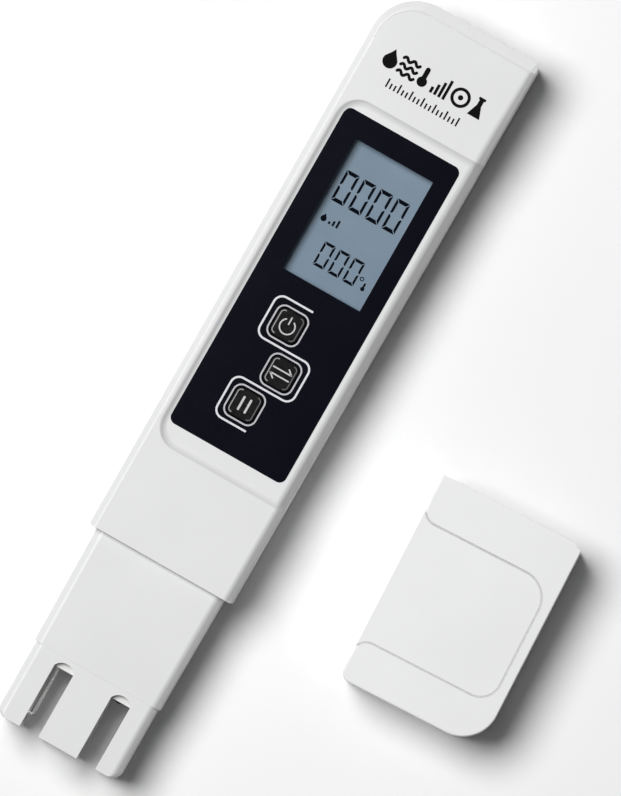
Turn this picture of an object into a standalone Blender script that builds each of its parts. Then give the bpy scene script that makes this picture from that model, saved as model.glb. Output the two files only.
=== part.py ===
"""Pen-type digital water tester with its pulled-off probe cap beside it.

The tester lies on its back: +Z is the side with the display, +Y points to the top end of
the case and +X is the right-hand side seen from the front.  The world origin is the middle
of the case's flat back.  Every piece of the tester is measured, in millimetres, from the
shoulder where the case steps down to the probe (y = 0), from the centre line (x = 0) and
from the back (z = 0), and hangs from an empty that carries it to the world frame.
"""
import math

import bmesh
import bpy
from mathutils import Vector

MM = 0.001
GAP = 0.3                      # clearance between neighbouring pieces
CORNER_STEPS = 5               # facets in each corner of an outline
EDGE_STEPS = 3                 # facets across a rounded edge
SMOOTH_ANGLE = math.radians(32)

# Case: two shells that meet at a seam half way up.
CASE_WIDTH = 30.0
CASE_LENGTH = 114.7
CASE_THICKNESS = 14.0
CASE_CORNERS = (0.6, 0.6, 1.0, 9.0)       # bottom left, bottom right, top right, top left
CASE_LEAN = 0.5                           # how far the right side leans out at the top end
CASE_WALL = 1.6
SEAM_HEIGHT = 7.0
FRONT_ROUND = 1.5
BACK_ROUND = 1.0
FRONT_SIDE_SHARE = (1.0, 1.0, 0.3, 1.45)  # left, right, bottom, top share of the edge round
FRONT_INNER_HEIGHT = 11.5
LIP_INSETS = (1.9, 2.5)
LIP_HEIGHTS = (5.2, 6.7, 7.9)

# Shallow field in the front face that runs out through the right-hand edge.
FIELD_LEFT = -12.7
FIELD_BOTTOM = 19.5
FIELD_TOP = 93.0
FIELD_RADIUS = 4.4
FIELD_HEIGHT = 13.2

# Black printed panel in the field, in a pocket of its own.
PANEL_SPAN = (-11.9, 12.5, 23.7, 90.6)    # left, right, bottom, top
PANEL_RADIUS = 1.4
PANEL_HEIGHTS = (13.2, 13.45)
WINDOW_SPAN = (-7.5, 9.0, 58.6, 86.0)
WINDOW_PLATE_MARGIN = 0.6
WINDOW_PLATE_TOP_MARGIN = 0.3
WINDOW_PLATE_HEIGHTS = (11.9, 12.9)

# Display module under the window.
LCD_SPAN = (-9.4, 10.9, 57.0, 87.0)
LCD_FRONT_HEIGHTS = (10.5, 11.2)
LCD_REAR_HEIGHTS = (9.5, 10.2)
REFLECTOR_HEIGHTS = (8.9, 9.2)
REFLECTOR_BOTTOM = 60.2
HOLDER_HEIGHTS = (7.7, 8.6, 11.2)
HOLDER_RIM = 0.7
HOLDER_LEDGE = 0.6
CONNECTOR_STRIP_SPAN = (-8.2, 9.7, 57.9, 59.5)
CONNECTOR_STRIP_HEIGHTS = (7.7, 9.2)

# Keys, their switches and the board that carries them.
KEY_CENTRES = {"power": (-1.2, 49.75), "shift": (2.1, 41.4), "hold": (-0.9, 33.15)}
KEY_SIZE = 5.3
KEY_RADIUS = 1.1
KEY_HEIGHTS = (10.5, 11.2, 13.75)         # underside, top of the flange, top of the cap
KEY_FLANGE_SIZE = 7.0
KEY_NUB_RADIUS = 1.2
KEY_NUB_HEIGHT = 10.2
KEY_EDGE_ROUND = 0.3
SWITCH_SIZE = 5.2
SWITCH_HEIGHTS = (7.7, 8.2, 9.2)          # underside, floor of the well, top
SWITCH_WELL_RADIUS = 1.5
PLUNGER_RADIUS = 1.2
PLUNGER_HEIGHTS = (8.9, 9.85)
BOARD_SPAN = (-11.9, 11.9, 15.5, 87.9)
BOARD_HEIGHTS = (6.4, 7.4)
BOARD_SCREW_CENTRES = ((-10.4, 19.5), (10.4, 19.5), (-10.4, 52.2), (10.4, 52.2))
BOARD_SCREW_RADII = (1.3, 0.7)            # head, shank
BOARD_SCREW_HEIGHTS = (5.2, 6.1, 10.4)
BOARD_POST_RADIUS = 1.9
BOARD_HOLE_RADIUS = 1.0

# Parts soldered to the underside of the board.
CHIP_SPAN = (-2.0, 6.0, 36.0, 43.0)
CHIP_HEIGHTS = (4.6, 6.1)
CRYSTAL_CENTRE = (8.6, 4.4)               # x, z of a can that lies along Y
CRYSTAL_RADIUS = 1.4
CRYSTAL_ENDS = (27.0, 33.5)
CAPACITOR_CENTRE = (-8.0, 3.9)
CAPACITOR_RADIUS = 2.0
CAPACITOR_ENDS = (33.0, 39.0)
TRIMMER_CENTRE = (-3.0, 26.0)
TRIMMER_SIZE = 6.0
TRIMMER_HEIGHTS = (3.4, 4.4, 6.1)         # mouth of the well, its floor, underside of the board
TRIMMER_WELL_RADIUS = 1.9
ROTOR_RADIUS = 1.55
ROTOR_HEIGHTS = (2.5, 4.1)
ROTOR_SLOT = (2.4, 0.6, 0.5)              # length, width, depth
TRIMMER_ACCESS_RADIUS = 1.5

# Screws that hold the rear shell to bosses in the front shell.
CASE_SCREW_CENTRES = ((-10.2, 10.5), (10.2, 10.5), (-10.2, 92.0), (10.2, 92.0))
CASE_SCREW_RADII = (1.8, 0.95)
CASE_SCREW_HEIGHTS = (0.5, 1.5, 10.2)
CASE_SCREW_CROSS = (2.2, 0.5, 0.5)
REAR_BOSS_RADIUS = 2.7
FRONT_BOSS_RADIUS = 2.0
COUNTERBORE_RADIUS = 2.1
COUNTERBORE_HEIGHT = 1.8
SCREW_HOLE_RADIUS = 1.25

# Battery compartment in the rear shell and the door that slides off over the top end.
CELL_RADIUS = 5.8
CELL_CAP_RADIUS = 5.1
CELL_HEIGHTS = (2.1, 6.7, 6.9, 7.5)
CELL_CENTRES = (95.1, 107.0)
CELL_SPACE_HALF = 6.1
CELL_SPACE_ENDS = (89.0, 112.9)
CELL_SPACE_HEIGHT = 8.3
COMPARTMENT_HALF = 7.3
COMPARTMENT_ENDS = (88.3, 112.4)
COMPARTMENT_HEIGHT = 9.3
SKIRT_HALF = 8.5
SKIRT_HEIGHT = 3.2
DOOR_HALF = 6.0
DOOR_FLANGE_HALF = 7.1
DOOR_ENDS = (87.6, 114.7)
DOOR_FLANGE_END = 114.2
DOOR_THICKNESS = 1.3
DOOR_FLANGE_BOTTOM = 0.9
DOOR_CHANNEL_HEIGHT = 2.1
GRIP_GROOVES = (91.0, 92.6, 94.2, 95.8)
GRIP_GROOVE_SIZE = (7.0, 0.7, 0.35)       # length, width, depth
BRIDGE_SPAN = (-4.5, 4.5, 90.5, 111.5)
BRIDGE_HEIGHTS = (1.6, 1.8)
CONTACT_HEIGHTS = (7.8, 8.0)
CONTACT_PAD_HALF = 2.6
CONTACT_FOOT = 86.6
CONTACT_WINDOW_BOTTOM = 7.6

# Probe: a sleeve that steps in from the case, an electrode block and a slotted guard.
SLEEVE_HALF = 13.45
SLEEVE_LENGTH = 23.7
SLEEVE_HEIGHTS = (1.5, 12.5)
SLEEVE_ROUND = 1.5
SLEEVE_DRAFT = 0.25                       # how much each side leans in at the lower end
PROBE_CAVITY_HALF = 11.95
PROBE_CAVITY_HEIGHTS = (3.0, 11.0)
NECK_HALF = 11.0
NECK_HEIGHTS = (3.6, 10.4)
NECK_BORE_HALF = 9.8
NECK_BORE_HEIGHTS = (4.8, 9.2)
FLANGE_HALF = 12.2
FLANGE_HEIGHTS = (2.4, 11.2)
FLANGE_ENDS = (3.3, 4.8)
SEAL_ENDS = (1.9, 3.0)
SLEEVE_ROOF = 2.3
GUARD_HALF = 12.8
GUARD_ENDS = (-38.9, -24.0)
GUARD_HEIGHTS = (1.55, 12.45)
GUARD_CORNERS = (2.0, 2.0, 0.3, 0.3)
GUARD_ROUND = 1.2
SLOT_CENTRES = (-5.7, 6.35)
SLOT_WIDTH = 4.0
SLOT_SHOULDER = -25.8
SLOT_PEAK = -24.6
BLOCK_ENDS = (-25.9, -15.5)
PROBE_MIDDLE = 7.0                        # height of the pins over the back of the case
ELECTRODE_X = {"left": -7.45, "right": 8.9}
ELECTRODE_RADIUS = 0.85
ELECTRODE_ENDS = (-36.1, -13.0)
SENSOR_X = 5.6
SENSOR_RADIUS = 0.9
SENSOR_ENDS = (-26.3, -20.0)
WIRE_RADIUS = 0.45

# Cap: lies beside the tester, face up, with its mouth towards +Y.
CAP_MOUTH = (51.83, 40.73)                # middle of the mouth
CAP_TURN = math.radians(2.4)
CAP_WIDTH = 29.0
CAP_LENGTH = 42.05
CAP_THICKNESS = 13.1
CAP_CORNERS = (1.8, 7.0, 0.3, 0.3)
CAP_CORNER_CUT = (2.4, 1.1)               # across and along, off the right corner of the mouth
CAP_WALL = 0.85
CAP_END_WALL = 0.9
CAP_ROUND = 1.1
CAP_FIELD_DEPTH = 0.2
CAP_FIELD_RIGHT = 12.5
CAP_FIELD_ENDS = (-33.75, -9.05)
CAP_FIELD_RADII = (4.0, 5.2)              # lower right, upper right
CAP_FIELD_FLARE = 2.7

# Colours, linear RGB.
WHITE = (0.78, 0.78, 0.78)
PANEL_BLACK = (0.004, 0.004, 0.009)
KEY_GREY = (0.016, 0.016, 0.018)
BOARD_GREEN = (0.020, 0.115, 0.045)
STEEL = (0.60, 0.60, 0.59)
BRASS = (0.62, 0.47, 0.20)
RUBBER_BLACK = (0.018, 0.018, 0.018)
LCD_GREY = (0.215, 0.285, 0.350)
GLASS_TINT = (0.80, 0.86, 0.88)


def clear_scene():
    for item in list(bpy.data.objects):
        bpy.data.objects.remove(item, do_unlink=True)


def principled(name, colour, roughness, metallic=0.0, clear=0.0):
    material = bpy.data.materials.new(name)
    material.use_nodes = True
    shader = material.node_tree.nodes["Principled BSDF"]
    shader.inputs["Base Color"].default_value = (*colour, 1.0)
    shader.inputs["Roughness"].default_value = roughness
    shader.inputs["Metallic"].default_value = metallic
    shader.inputs["Transmission Weight"].default_value = clear
    material.diffuse_color = (*colour, 1.0)
    return material


def rounded(span, radii, steps=CORNER_STEPS):
    """Counter-clockwise outline of the rectangle (left, right, bottom, top)."""
    left, right, bottom, top = span
    corners = ((left, bottom, 1, 1, 180), (right, bottom, -1, 1, 270),
               (right, top, -1, -1, 0), (left, top, 1, -1, 90))
    points = []
    for (x, y, inward_x, inward_y, start), radius in zip(corners, radii):
        for step in range(steps + 1):
            angle = math.radians(start + 90.0 * step / steps)
            points.append((x + radius * (inward_x + math.cos(angle)),
                           y + radius * (inward_y + math.sin(angle))))
    return points


def rectangle(left, right, bottom, top):
    return [(left, bottom), (right, bottom), (right, top), (left, top)]


def circle(x, y, radius, segments=24):
    turns = [2.0 * math.pi * step / segments for step in range(segments)]
    return [(x + radius * math.cos(turn), y + radius * math.sin(turn)) for turn in turns]


def shrink(span, inset, shares=(1.0, 1.0, 1.0, 1.0)):
    left, right, bottom, top = span
    return (left + inset * shares[0], right - inset * shares[1],
            bottom + inset * shares[2], top - inset * shares[3])


def shrink_radii(radii, inset):
    return [max(radius - inset, 0.12) for radius in radii]


def edge_levels(low, high, low_round, high_round):
    """(height, inset) pairs up the side of a slab with rounded lower and upper edges."""
    levels = []
    quarter = [math.radians(90.0 * step / EDGE_STEPS) for step in range(EDGE_STEPS + 1)]
    if low_round:
        levels += [(low + low_round * (1 - math.sin(turn)), low_round * (1 - math.cos(turn)))
                   for turn in reversed(quarter)]
    else:
        levels.append((low, 0.0))
    if high_round:
        levels += [(high - high_round * (1 - math.sin(turn)), high_round * (1 - math.cos(turn)))
                   for turn in quarter]
    else:
        levels.append((high, 0.0))
    return levels


def loft(rings):
    """Closed solid through rings of (x, y, z) points, all with the same count."""
    shape = bmesh.new()
    loops = [[shape.verts.new(Vector(point) * MM) for point in ring] for ring in rings]
    count = len(loops[0])
    for lower, upper in zip(loops, loops[1:]):
        for index in range(count):
            after = (index + 1) % count
            shape.faces.new((lower[index], lower[after], upper[after], upper[index]))
    shape.faces.new(list(reversed(loops[0])))
    shape.faces.new(loops[-1])
    bmesh.ops.recalc_face_normals(shape, faces=shape.faces)
    return shape


def prism(outline, low, high):
    """Outline in X and Y, raised from one height to another."""
    return loft([[(x, y, height) for x, y in outline] for height in (low, high)])


def bar(outline, start, stop):
    """Outline in X and Z, drawn out along Y."""
    return loft([[(x, y, z) for x, z in outline] for y in (start, stop)])


def block(span, low, high):
    return prism(rectangle(*span), low, high)


def slab(span, radii, low, high, low_round=0.0, high_round=0.0, shares=(1.0, 1.0, 1.0, 1.0)):
    """Flat body with rounded corners in plan and rounded edges above and below."""
    rings = []
    for height, inset in edge_levels(low, high, low_round, high_round):
        outline = rounded(shrink(span, inset, shares), shrink_radii(radii, inset))
        rings.append([(x, y, height) for x, y in outline])
    return loft(rings)


def add_piece(name, shape, parent=None, material=None, pivot=(0.0, 0.0, 0.0)):
    """Turn a shape into a named object whose origin is at the pivot."""
    bmesh.ops.translate(shape, verts=shape.verts, vec=-Vector(pivot) * MM)
    mesh = bpy.data.meshes.new(name)
    shape.to_mesh(mesh)
    shape.free()
    piece = bpy.data.objects.new(name, mesh)
    bpy.context.scene.collection.objects.link(piece)
    piece.location = Vector(pivot) * MM
    piece.parent = parent
    if material:
        mesh.materials.append(material)
    mesh.shade_smooth()
    mesh.set_sharp_from_angle(angle=SMOOTH_ANGLE)
    return piece


def combine(piece, shape, operation):
    """Apply one exact Boolean to a piece; the shape is in the piece's parent frame."""
    tool = add_piece(piece.name + "_tool", shape, parent=piece.parent)
    bpy.context.view_layer.update()
    modifier = piece.modifiers.new(operation.title(), "BOOLEAN")
    modifier.operation = operation
    modifier.solver = "EXACT"
    modifier.object = tool
    before = piece.data
    result = bpy.data.meshes.new_from_object(
        piece.evaluated_get(bpy.context.evaluated_depsgraph_get()))
    piece.modifiers.clear()
    piece.data = result
    result.shade_smooth()
    result.set_sharp_from_angle(angle=SMOOTH_ANGLE)
    bpy.data.objects.remove(tool, do_unlink=True)
    bpy.data.meshes.remove(before)
    result.name = piece.name


def cut(piece, *shapes):
    for shape in shapes:
        combine(piece, shape, "DIFFERENCE")


def join(piece, *shapes):
    for shape in shapes:
        combine(piece, shape, "UNION")


def add_empty(name, location, turn=0.0):
    empty = bpy.data.objects.new(name, None)
    bpy.context.scene.collection.objects.link(empty)
    empty.location = Vector(location) * MM
    empty.rotation_euler.z = turn
    return empty


def case_span():
    return (-CASE_WIDTH / 2, CASE_WIDTH / 2, 0.0, CASE_LENGTH)


def case_ring(inset):
    return rounded(shrink(case_span(), inset), shrink_radii(CASE_CORNERS, inset))


def neck_opening():
    """Hole through the case's lower end wall for the neck of the probe sleeve."""
    low, high = NECK_HEIGHTS
    half = NECK_HALF + GAP
    return bar(rectangle(-half, half, low - GAP, high + GAP), -2.0, SEAL_ENDS[0])


def panel_pocket():
    span = shrink(PANEL_SPAN, -GAP)
    radii = [PANEL_RADIUS + GAP] * 4
    return prism(rounded(span, radii), PANEL_HEIGHTS[0] - GAP, CASE_THICKNESS + 1.0)


def key_hole(name, low, high):
    x, y = KEY_CENTRES[name]
    half = KEY_SIZE / 2 + GAP
    return prism(rounded((x - half, x + half, y - half, y + half), [KEY_RADIUS + GAP] * 4),
                 low, high)


def window_plate_span():
    left, right, bottom, top = WINDOW_SPAN
    return (left - WINDOW_PLATE_MARGIN, right + WINDOW_PLATE_MARGIN,
            bottom - WINDOW_PLATE_MARGIN, top + WINDOW_PLATE_TOP_MARGIN)


def lean(shape):
    """Lean the case's right side out, more and more towards the top end."""
    for vertex in shape.verts:
        if vertex.co.x > CASE_WIDTH * MM / 3:
            vertex.co.x += vertex.co.y * CASE_LEAN / CASE_LENGTH
    return shape


def front_shell(tester):
    shape = slab(case_span(), CASE_CORNERS, SEAM_HEIGHT, CASE_THICKNESS,
                 high_round=FRONT_ROUND, shares=FRONT_SIDE_SHARE)
    white = principled("front_shell", WHITE, 0.38)
    shell = add_piece("front_shell", lean(shape), tester, white)
    cut(shell, prism(case_ring(CASE_WALL), SEAM_HEIGHT - 1.0, FRONT_INNER_HEIGHT))
    for x, y in CASE_SCREW_CENTRES:
        join(shell, prism(circle(x, y, FRONT_BOSS_RADIUS), SEAM_HEIGHT, FRONT_INNER_HEIGHT + 0.5))
        cut(shell, prism(circle(x, y, SCREW_HOLE_RADIUS, 16), SEAM_HEIGHT - 1.0,
                         CASE_SCREW_HEIGHTS[2] + GAP))
    for x, y in BOARD_SCREW_CENTRES:
        join(shell, prism(circle(x, y, BOARD_POST_RADIUS), BOARD_HEIGHTS[1] + GAP,
                          FRONT_INNER_HEIGHT + 0.5))
        cut(shell, prism(circle(x, y, BOARD_HOLE_RADIUS, 16), SEAM_HEIGHT,
                         BOARD_SCREW_HEIGHTS[2] + GAP))
    field = (FIELD_LEFT, CASE_WIDTH / 2 + 2.0, FIELD_BOTTOM, FIELD_TOP)
    field_radii = (FIELD_RADIUS, 0.5, 0.5, FIELD_RADIUS)
    cut(shell,
        prism(rounded(field, field_radii), FIELD_HEIGHT, CASE_THICKNESS + 1.0),
        panel_pocket(),
        block(shrink(window_plate_span(), -GAP), FRONT_INNER_HEIGHT - 1.0, CASE_THICKNESS),
        neck_opening())
    for name in KEY_CENTRES:
        cut(shell, key_hole(name, FRONT_INNER_HEIGHT - 1.0, CASE_THICKNESS))
    return shell


def alignment_lip():
    """Rim inside the seam; it stands on the rear shell and stops short of the sleeve."""
    foot, seam, top = LIP_HEIGHTS
    outer, inner = LIP_INSETS
    lip = add_piece("lip", prism(case_ring(CASE_WALL - 0.3), foot, seam))
    join(lip, prism(case_ring(outer), seam - 0.5, top))
    cut(lip,
        prism(case_ring(inner), foot - 1.0, top + 1.0),
        block((-CASE_WIDTH / 2, CASE_WIDTH / 2, -1.0, FLANGE_ENDS[1] + 0.5), foot - 1.0, top + 1.0))
    shape = bmesh.new()
    shape.from_mesh(lip.data)
    bpy.data.objects.remove(lip, do_unlink=True)
    return shape


def door_channel():
    """T-shaped channel for the door, open at the top end of the case."""
    start = DOOR_ENDS[0] - GAP
    stop = CASE_LENGTH + 1.0
    lip_top = DOOR_FLANGE_BOTTOM - GAP
    mouth = block((-DOOR_HALF - GAP, DOOR_HALF + GAP, start, stop), -1.0, lip_top + 0.2)
    tunnel_half = DOOR_FLANGE_HALF + GAP
    tunnel = block((-tunnel_half, tunnel_half, start, stop), lip_top, DOOR_CHANNEL_HEIGHT)
    return mouth, tunnel


def rear_shell(tester):
    shape = slab(case_span(), CASE_CORNERS, 0.0, SEAM_HEIGHT - GAP, low_round=BACK_ROUND)
    white = principled("rear_shell", WHITE, 0.40)
    shell = add_piece("rear_shell", lean(shape), tester, white)
    cut(shell, prism(case_ring(CASE_WALL), CASE_WALL, SEAM_HEIGHT + 1.0))
    start, stop = COMPARTMENT_ENDS
    join(shell,
         alignment_lip(),
         block((-SKIRT_HALF, SKIRT_HALF, start - 2.0, CASE_LENGTH - CASE_WALL / 2),
               CASE_WALL / 2, SKIRT_HEIGHT),
         block((-COMPARTMENT_HALF, COMPARTMENT_HALF, start, stop),
               CASE_WALL / 2, COMPARTMENT_HEIGHT))
    for x, y in CASE_SCREW_CENTRES:
        join(shell, prism(circle(x, y, REAR_BOSS_RADIUS), CASE_WALL / 2, SEAM_HEIGHT - GAP))
    space_start, space_stop = CELL_SPACE_ENDS
    cut(shell,
        block((-CELL_SPACE_HALF, CELL_SPACE_HALF, space_start, space_stop),
              CASE_WALL / 2, CELL_SPACE_HEIGHT),
        *door_channel(),
        block((-CELL_SPACE_HALF + 0.1, CELL_SPACE_HALF - 0.1, start - 1.0, space_start + 1.0),
              CONTACT_WINDOW_BOTTOM, CELL_SPACE_HEIGHT - 0.05),
        neck_opening(),
        prism(circle(*TRIMMER_CENTRE, TRIMMER_ACCESS_RADIUS), -1.0, CASE_WALL + 1.0))
    for x, y in CASE_SCREW_CENTRES:
        cut(shell,
            prism(circle(x, y, COUNTERBORE_RADIUS), -1.0, COUNTERBORE_HEIGHT),
            prism(circle(x, y, SCREW_HOLE_RADIUS, 16), 0.5, SEAM_HEIGHT + 1.0))
    return shell


def face_panel(tester):
    shape = prism(rounded(PANEL_SPAN, [PANEL_RADIUS] * 4), *PANEL_HEIGHTS)
    black = principled("face_panel", PANEL_BLACK, 0.28)
    panel = add_piece("face_panel", shape, tester, black)
    low = PANEL_HEIGHTS[0] - 1.0
    high = PANEL_HEIGHTS[1] + 1.0
    cut(panel, block(WINDOW_SPAN, low, high))
    for name in KEY_CENTRES:
        cut(panel, key_hole(name, low, high))


def display_window(tester):
    shape = block(window_plate_span(), *WINDOW_PLATE_HEIGHTS)
    clear = principled("display_window", GLASS_TINT, 0.06, clear=0.95)
    add_piece("display_window", shape, tester, clear)


def lcd_front_glass(tester):
    clear = principled("lcd_front_glass", GLASS_TINT, 0.08, clear=0.9)
    add_piece("lcd_front_glass", block(LCD_SPAN, *LCD_FRONT_HEIGHTS), tester, clear)


def lcd_rear_glass(tester):
    grey = principled("lcd_rear_glass", LCD_GREY, 0.25)
    add_piece("lcd_rear_glass", block(LCD_SPAN, *LCD_REAR_HEIGHTS), tester, grey)


def lcd_reflector(tester):
    left, right, _, top = LCD_SPAN
    silver = principled("lcd_reflector", (0.55, 0.57, 0.58), 0.35, metallic=0.8)
    add_piece("lcd_reflector", block((left, right, REFLECTOR_BOTTOM, top), *REFLECTOR_HEIGHTS),
              tester, silver)


def lcd_holder(tester):
    base, ledge, rim = HOLDER_HEIGHTS
    nest = shrink(LCD_SPAN, -GAP)
    shape = block(shrink(nest, -HOLDER_RIM), base, rim)
    holder = add_piece("lcd_holder", shape, tester, principled("lcd_holder", WHITE, 0.5))
    left, right, _, top = shrink(LCD_SPAN, HOLDER_LEDGE)
    notch = (-CELL_SPACE_HALF, CELL_SPACE_HALF, CONTACT_FOOT - 1.0, top + 4.0)
    cut(holder,
        block(nest, ledge, rim + 1.0),
        block((left, right, CONNECTOR_STRIP_SPAN[2] - GAP, top), base - 1.0, ledge + 1.0),
        block(notch, base - 1.0, CELL_SPACE_HEIGHT))


def connector_strip(tester):
    rubber = principled("connector_strip", (0.11, 0.10, 0.10), 0.7)
    add_piece("connector_strip", block(CONNECTOR_STRIP_SPAN, *CONNECTOR_STRIP_HEIGHTS),
              tester, rubber)


def square(centre, size):
    x, y = centre
    half = size / 2
    return (x - half, x + half, y - half, y + half)


def key(tester, name):
    centre = KEY_CENTRES[name]
    low, flange_top, top = KEY_HEIGHTS
    pivot = (*centre, flange_top)
    grey = principled(name + "_key", KEY_GREY, 0.6)
    cap = slab(square(centre, KEY_SIZE), [KEY_RADIUS] * 4, low, top, high_round=KEY_EDGE_ROUND)
    piece = add_piece(name + "_key", cap, tester, grey, pivot)
    join(piece,
         slab(square(centre, KEY_FLANGE_SIZE), [KEY_RADIUS] * 4, low, flange_top),
         prism(circle(*centre, KEY_NUB_RADIUS, 16), KEY_NUB_HEIGHT, low + 0.2))


def key_switch(tester, name):
    centre = KEY_CENTRES[name]
    low, floor, top = SWITCH_HEIGHTS
    dark = principled(name + "_switch", (0.03, 0.03, 0.032), 0.5)
    housing = add_piece(name + "_switch", block(square(centre, SWITCH_SIZE), low, top),
                        tester, dark)
    cut(housing, prism(circle(*centre, SWITCH_WELL_RADIUS, 16), floor, top + 1.0))


def switch_plunger(tester, name):
    x, y = KEY_CENTRES[name]
    white = principled(name + "_plunger", (0.6, 0.6, 0.58), 0.45)
    add_piece(name + "_plunger", prism(circle(x, y, PLUNGER_RADIUS, 16), *PLUNGER_HEIGHTS),
              tester, white, pivot=(x, y, PLUNGER_HEIGHTS[0]))


def circuit_board(tester):
    green = principled("circuit_board", BOARD_GREEN, 0.45)
    board = add_piece("circuit_board", block(BOARD_SPAN, *BOARD_HEIGHTS), tester, green)
    for x, y in BOARD_SCREW_CENTRES:
        cut(board, prism(circle(x, y, BOARD_HOLE_RADIUS, 16),
                         BOARD_HEIGHTS[0] - 1.0, BOARD_HEIGHTS[1] + 1.0))


def screw(tester, name, centre, radii, heights, cross):
    """Pan-head screw that points up, with a cross recess in its head."""
    head_radius, shank_radius = radii
    head_low, head_high, tip = heights
    steel = principled(name, STEEL, 0.35, metallic=1.0)
    piece = add_piece(name, prism(circle(*centre, head_radius, 20), head_low, head_high),
                      tester, steel)
    join(piece, prism(circle(*centre, shank_radius, 12), head_high - 0.2, tip))
    x, y = centre
    length, width, depth = cross
    cut(piece,
        block((x - length / 2, x + length / 2, y - width / 2, y + width / 2),
              head_low - 1.0, head_low + depth),
        block((x - width / 2, x + width / 2, y - length / 2, y + length / 2),
              head_low - 1.0, head_low + depth))


def case_screws(tester):
    for number, centre in enumerate(CASE_SCREW_CENTRES, start=1):
        screw(tester, "case_screw_%d" % number, centre, CASE_SCREW_RADII, CASE_SCREW_HEIGHTS,
              CASE_SCREW_CROSS)


def board_screws(tester):
    for number, centre in enumerate(BOARD_SCREW_CENTRES, start=1):
        screw(tester, "board_screw_%d" % number, centre, BOARD_SCREW_RADII,
              BOARD_SCREW_HEIGHTS, (1.6, 0.35, 0.4))


def controller_chip(tester):
    black = principled("controller_chip", (0.015, 0.015, 0.016), 0.55)
    add_piece("controller_chip", block(CHIP_SPAN, *CHIP_HEIGHTS), tester, black)


def crystal_can(tester):
    tin = principled("crystal_can", (0.66, 0.66, 0.64), 0.25, metallic=1.0)
    add_piece("crystal_can", bar(circle(*CRYSTAL_CENTRE, CRYSTAL_RADIUS, 20), *CRYSTAL_ENDS),
              tester, tin)


def filter_capacitor(tester):
    sleeve = principled("filter_capacitor", (0.02, 0.025, 0.06), 0.35)
    add_piece("filter_capacitor",
              bar(circle(*CAPACITOR_CENTRE, CAPACITOR_RADIUS, 20), *CAPACITOR_ENDS),
              tester, sleeve)


def calibration_trimmer(tester):
    mouth, floor, top = TRIMMER_HEIGHTS
    blue = principled("calibration_trimmer", (0.02, 0.09, 0.33), 0.4)
    body = add_piece("calibration_trimmer", block(square(TRIMMER_CENTRE, TRIMMER_SIZE), mouth, top),
                     tester, blue)
    cut(body, prism(circle(*TRIMMER_CENTRE, TRIMMER_WELL_RADIUS, 20), mouth - 1.0, floor))


def calibration_screw(tester):
    x, y = TRIMMER_CENTRE
    low, high = ROTOR_HEIGHTS
    length, width, depth = ROTOR_SLOT
    brass = principled("calibration_screw", BRASS, 0.35, metallic=1.0)
    rotor = add_piece("calibration_screw", prism(circle(x, y, ROTOR_RADIUS, 20), low, high),
                      tester, brass, pivot=(x, y, low))
    cut(rotor, block((x - length / 2, x + length / 2, y - width / 2, y + width / 2),
                     low - 1.0, low + depth))


def battery_cells(tester):
    radii = (CELL_RADIUS, CELL_RADIUS, CELL_CAP_RADIUS, CELL_CAP_RADIUS)
    for number, y in enumerate(CELL_CENTRES, start=1):
        name = "battery_cell_%d" % number
        rings = [[(px, py, height) for px, py in circle(0.0, y, radius, 28)]
                 for radius, height in zip(radii, CELL_HEIGHTS)]
        add_piece(name, loft(rings), tester, principled(name, (0.70, 0.70, 0.69), 0.22, metallic=1.0))


def battery_contacts(tester):
    """Two strips over the cells; each runs down beside or past the other to the board."""
    low, high = CONTACT_HEIGHTS
    near, far = CELL_CENTRES
    pad = CONTACT_PAD_HALF
    inner = [(-1.0, CONTACT_FOOT), (1.0, CONTACT_FOOT), (1.0, near - pad), (pad, near - pad),
             (pad, near + pad), (-pad, near + pad), (-pad, near - pad), (-1.0, near - pad)]
    add_piece("battery_contact_near", prism(inner, low, high), tester,
              principled("battery_contact_near", (0.72, 0.70, 0.62), 0.3, metallic=1.0))
    outer = [(-5.6, CONTACT_FOOT), (-3.8, CONTACT_FOOT), (-3.8, far - pad), (pad, far - pad),
             (pad, far + pad), (-5.6, far + pad)]
    add_piece("battery_contact_far", prism(outer, low, high), tester,
              principled("battery_contact_far", (0.72, 0.70, 0.62), 0.3, metallic=1.0))


def battery_bridge(tester):
    spring = principled("battery_bridge", (0.72, 0.70, 0.62), 0.3, metallic=1.0)
    add_piece("battery_bridge", block(BRIDGE_SPAN, *BRIDGE_HEIGHTS), tester, spring)


def battery_door(tester):
    start, stop = DOOR_ENDS
    outline = [(start, 0.0), (stop - BACK_ROUND, 0.0), (stop - 0.3, BACK_ROUND * 0.3),
               (stop, BACK_ROUND), (stop, DOOR_THICKNESS), (start, DOOR_THICKNESS)]
    shape = loft([[(x, y, z) for y, z in outline] for x in (-DOOR_HALF, DOOR_HALF)])
    white = principled("battery_door", WHITE, 0.40)
    door = add_piece("battery_door", shape, tester, white, pivot=(0.0, start, 0.0))
    join(door, block((-DOOR_FLANGE_HALF, DOOR_FLANGE_HALF, start + 0.2, DOOR_FLANGE_END),
                     DOOR_FLANGE_BOTTOM, DOOR_THICKNESS - 0.02))
    length, width, depth = GRIP_GROOVE_SIZE
    for y in GRIP_GROOVES:
        cut(door, block((-length / 2, length / 2, y - width / 2, y + width / 2), -1.0, depth))


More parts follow.
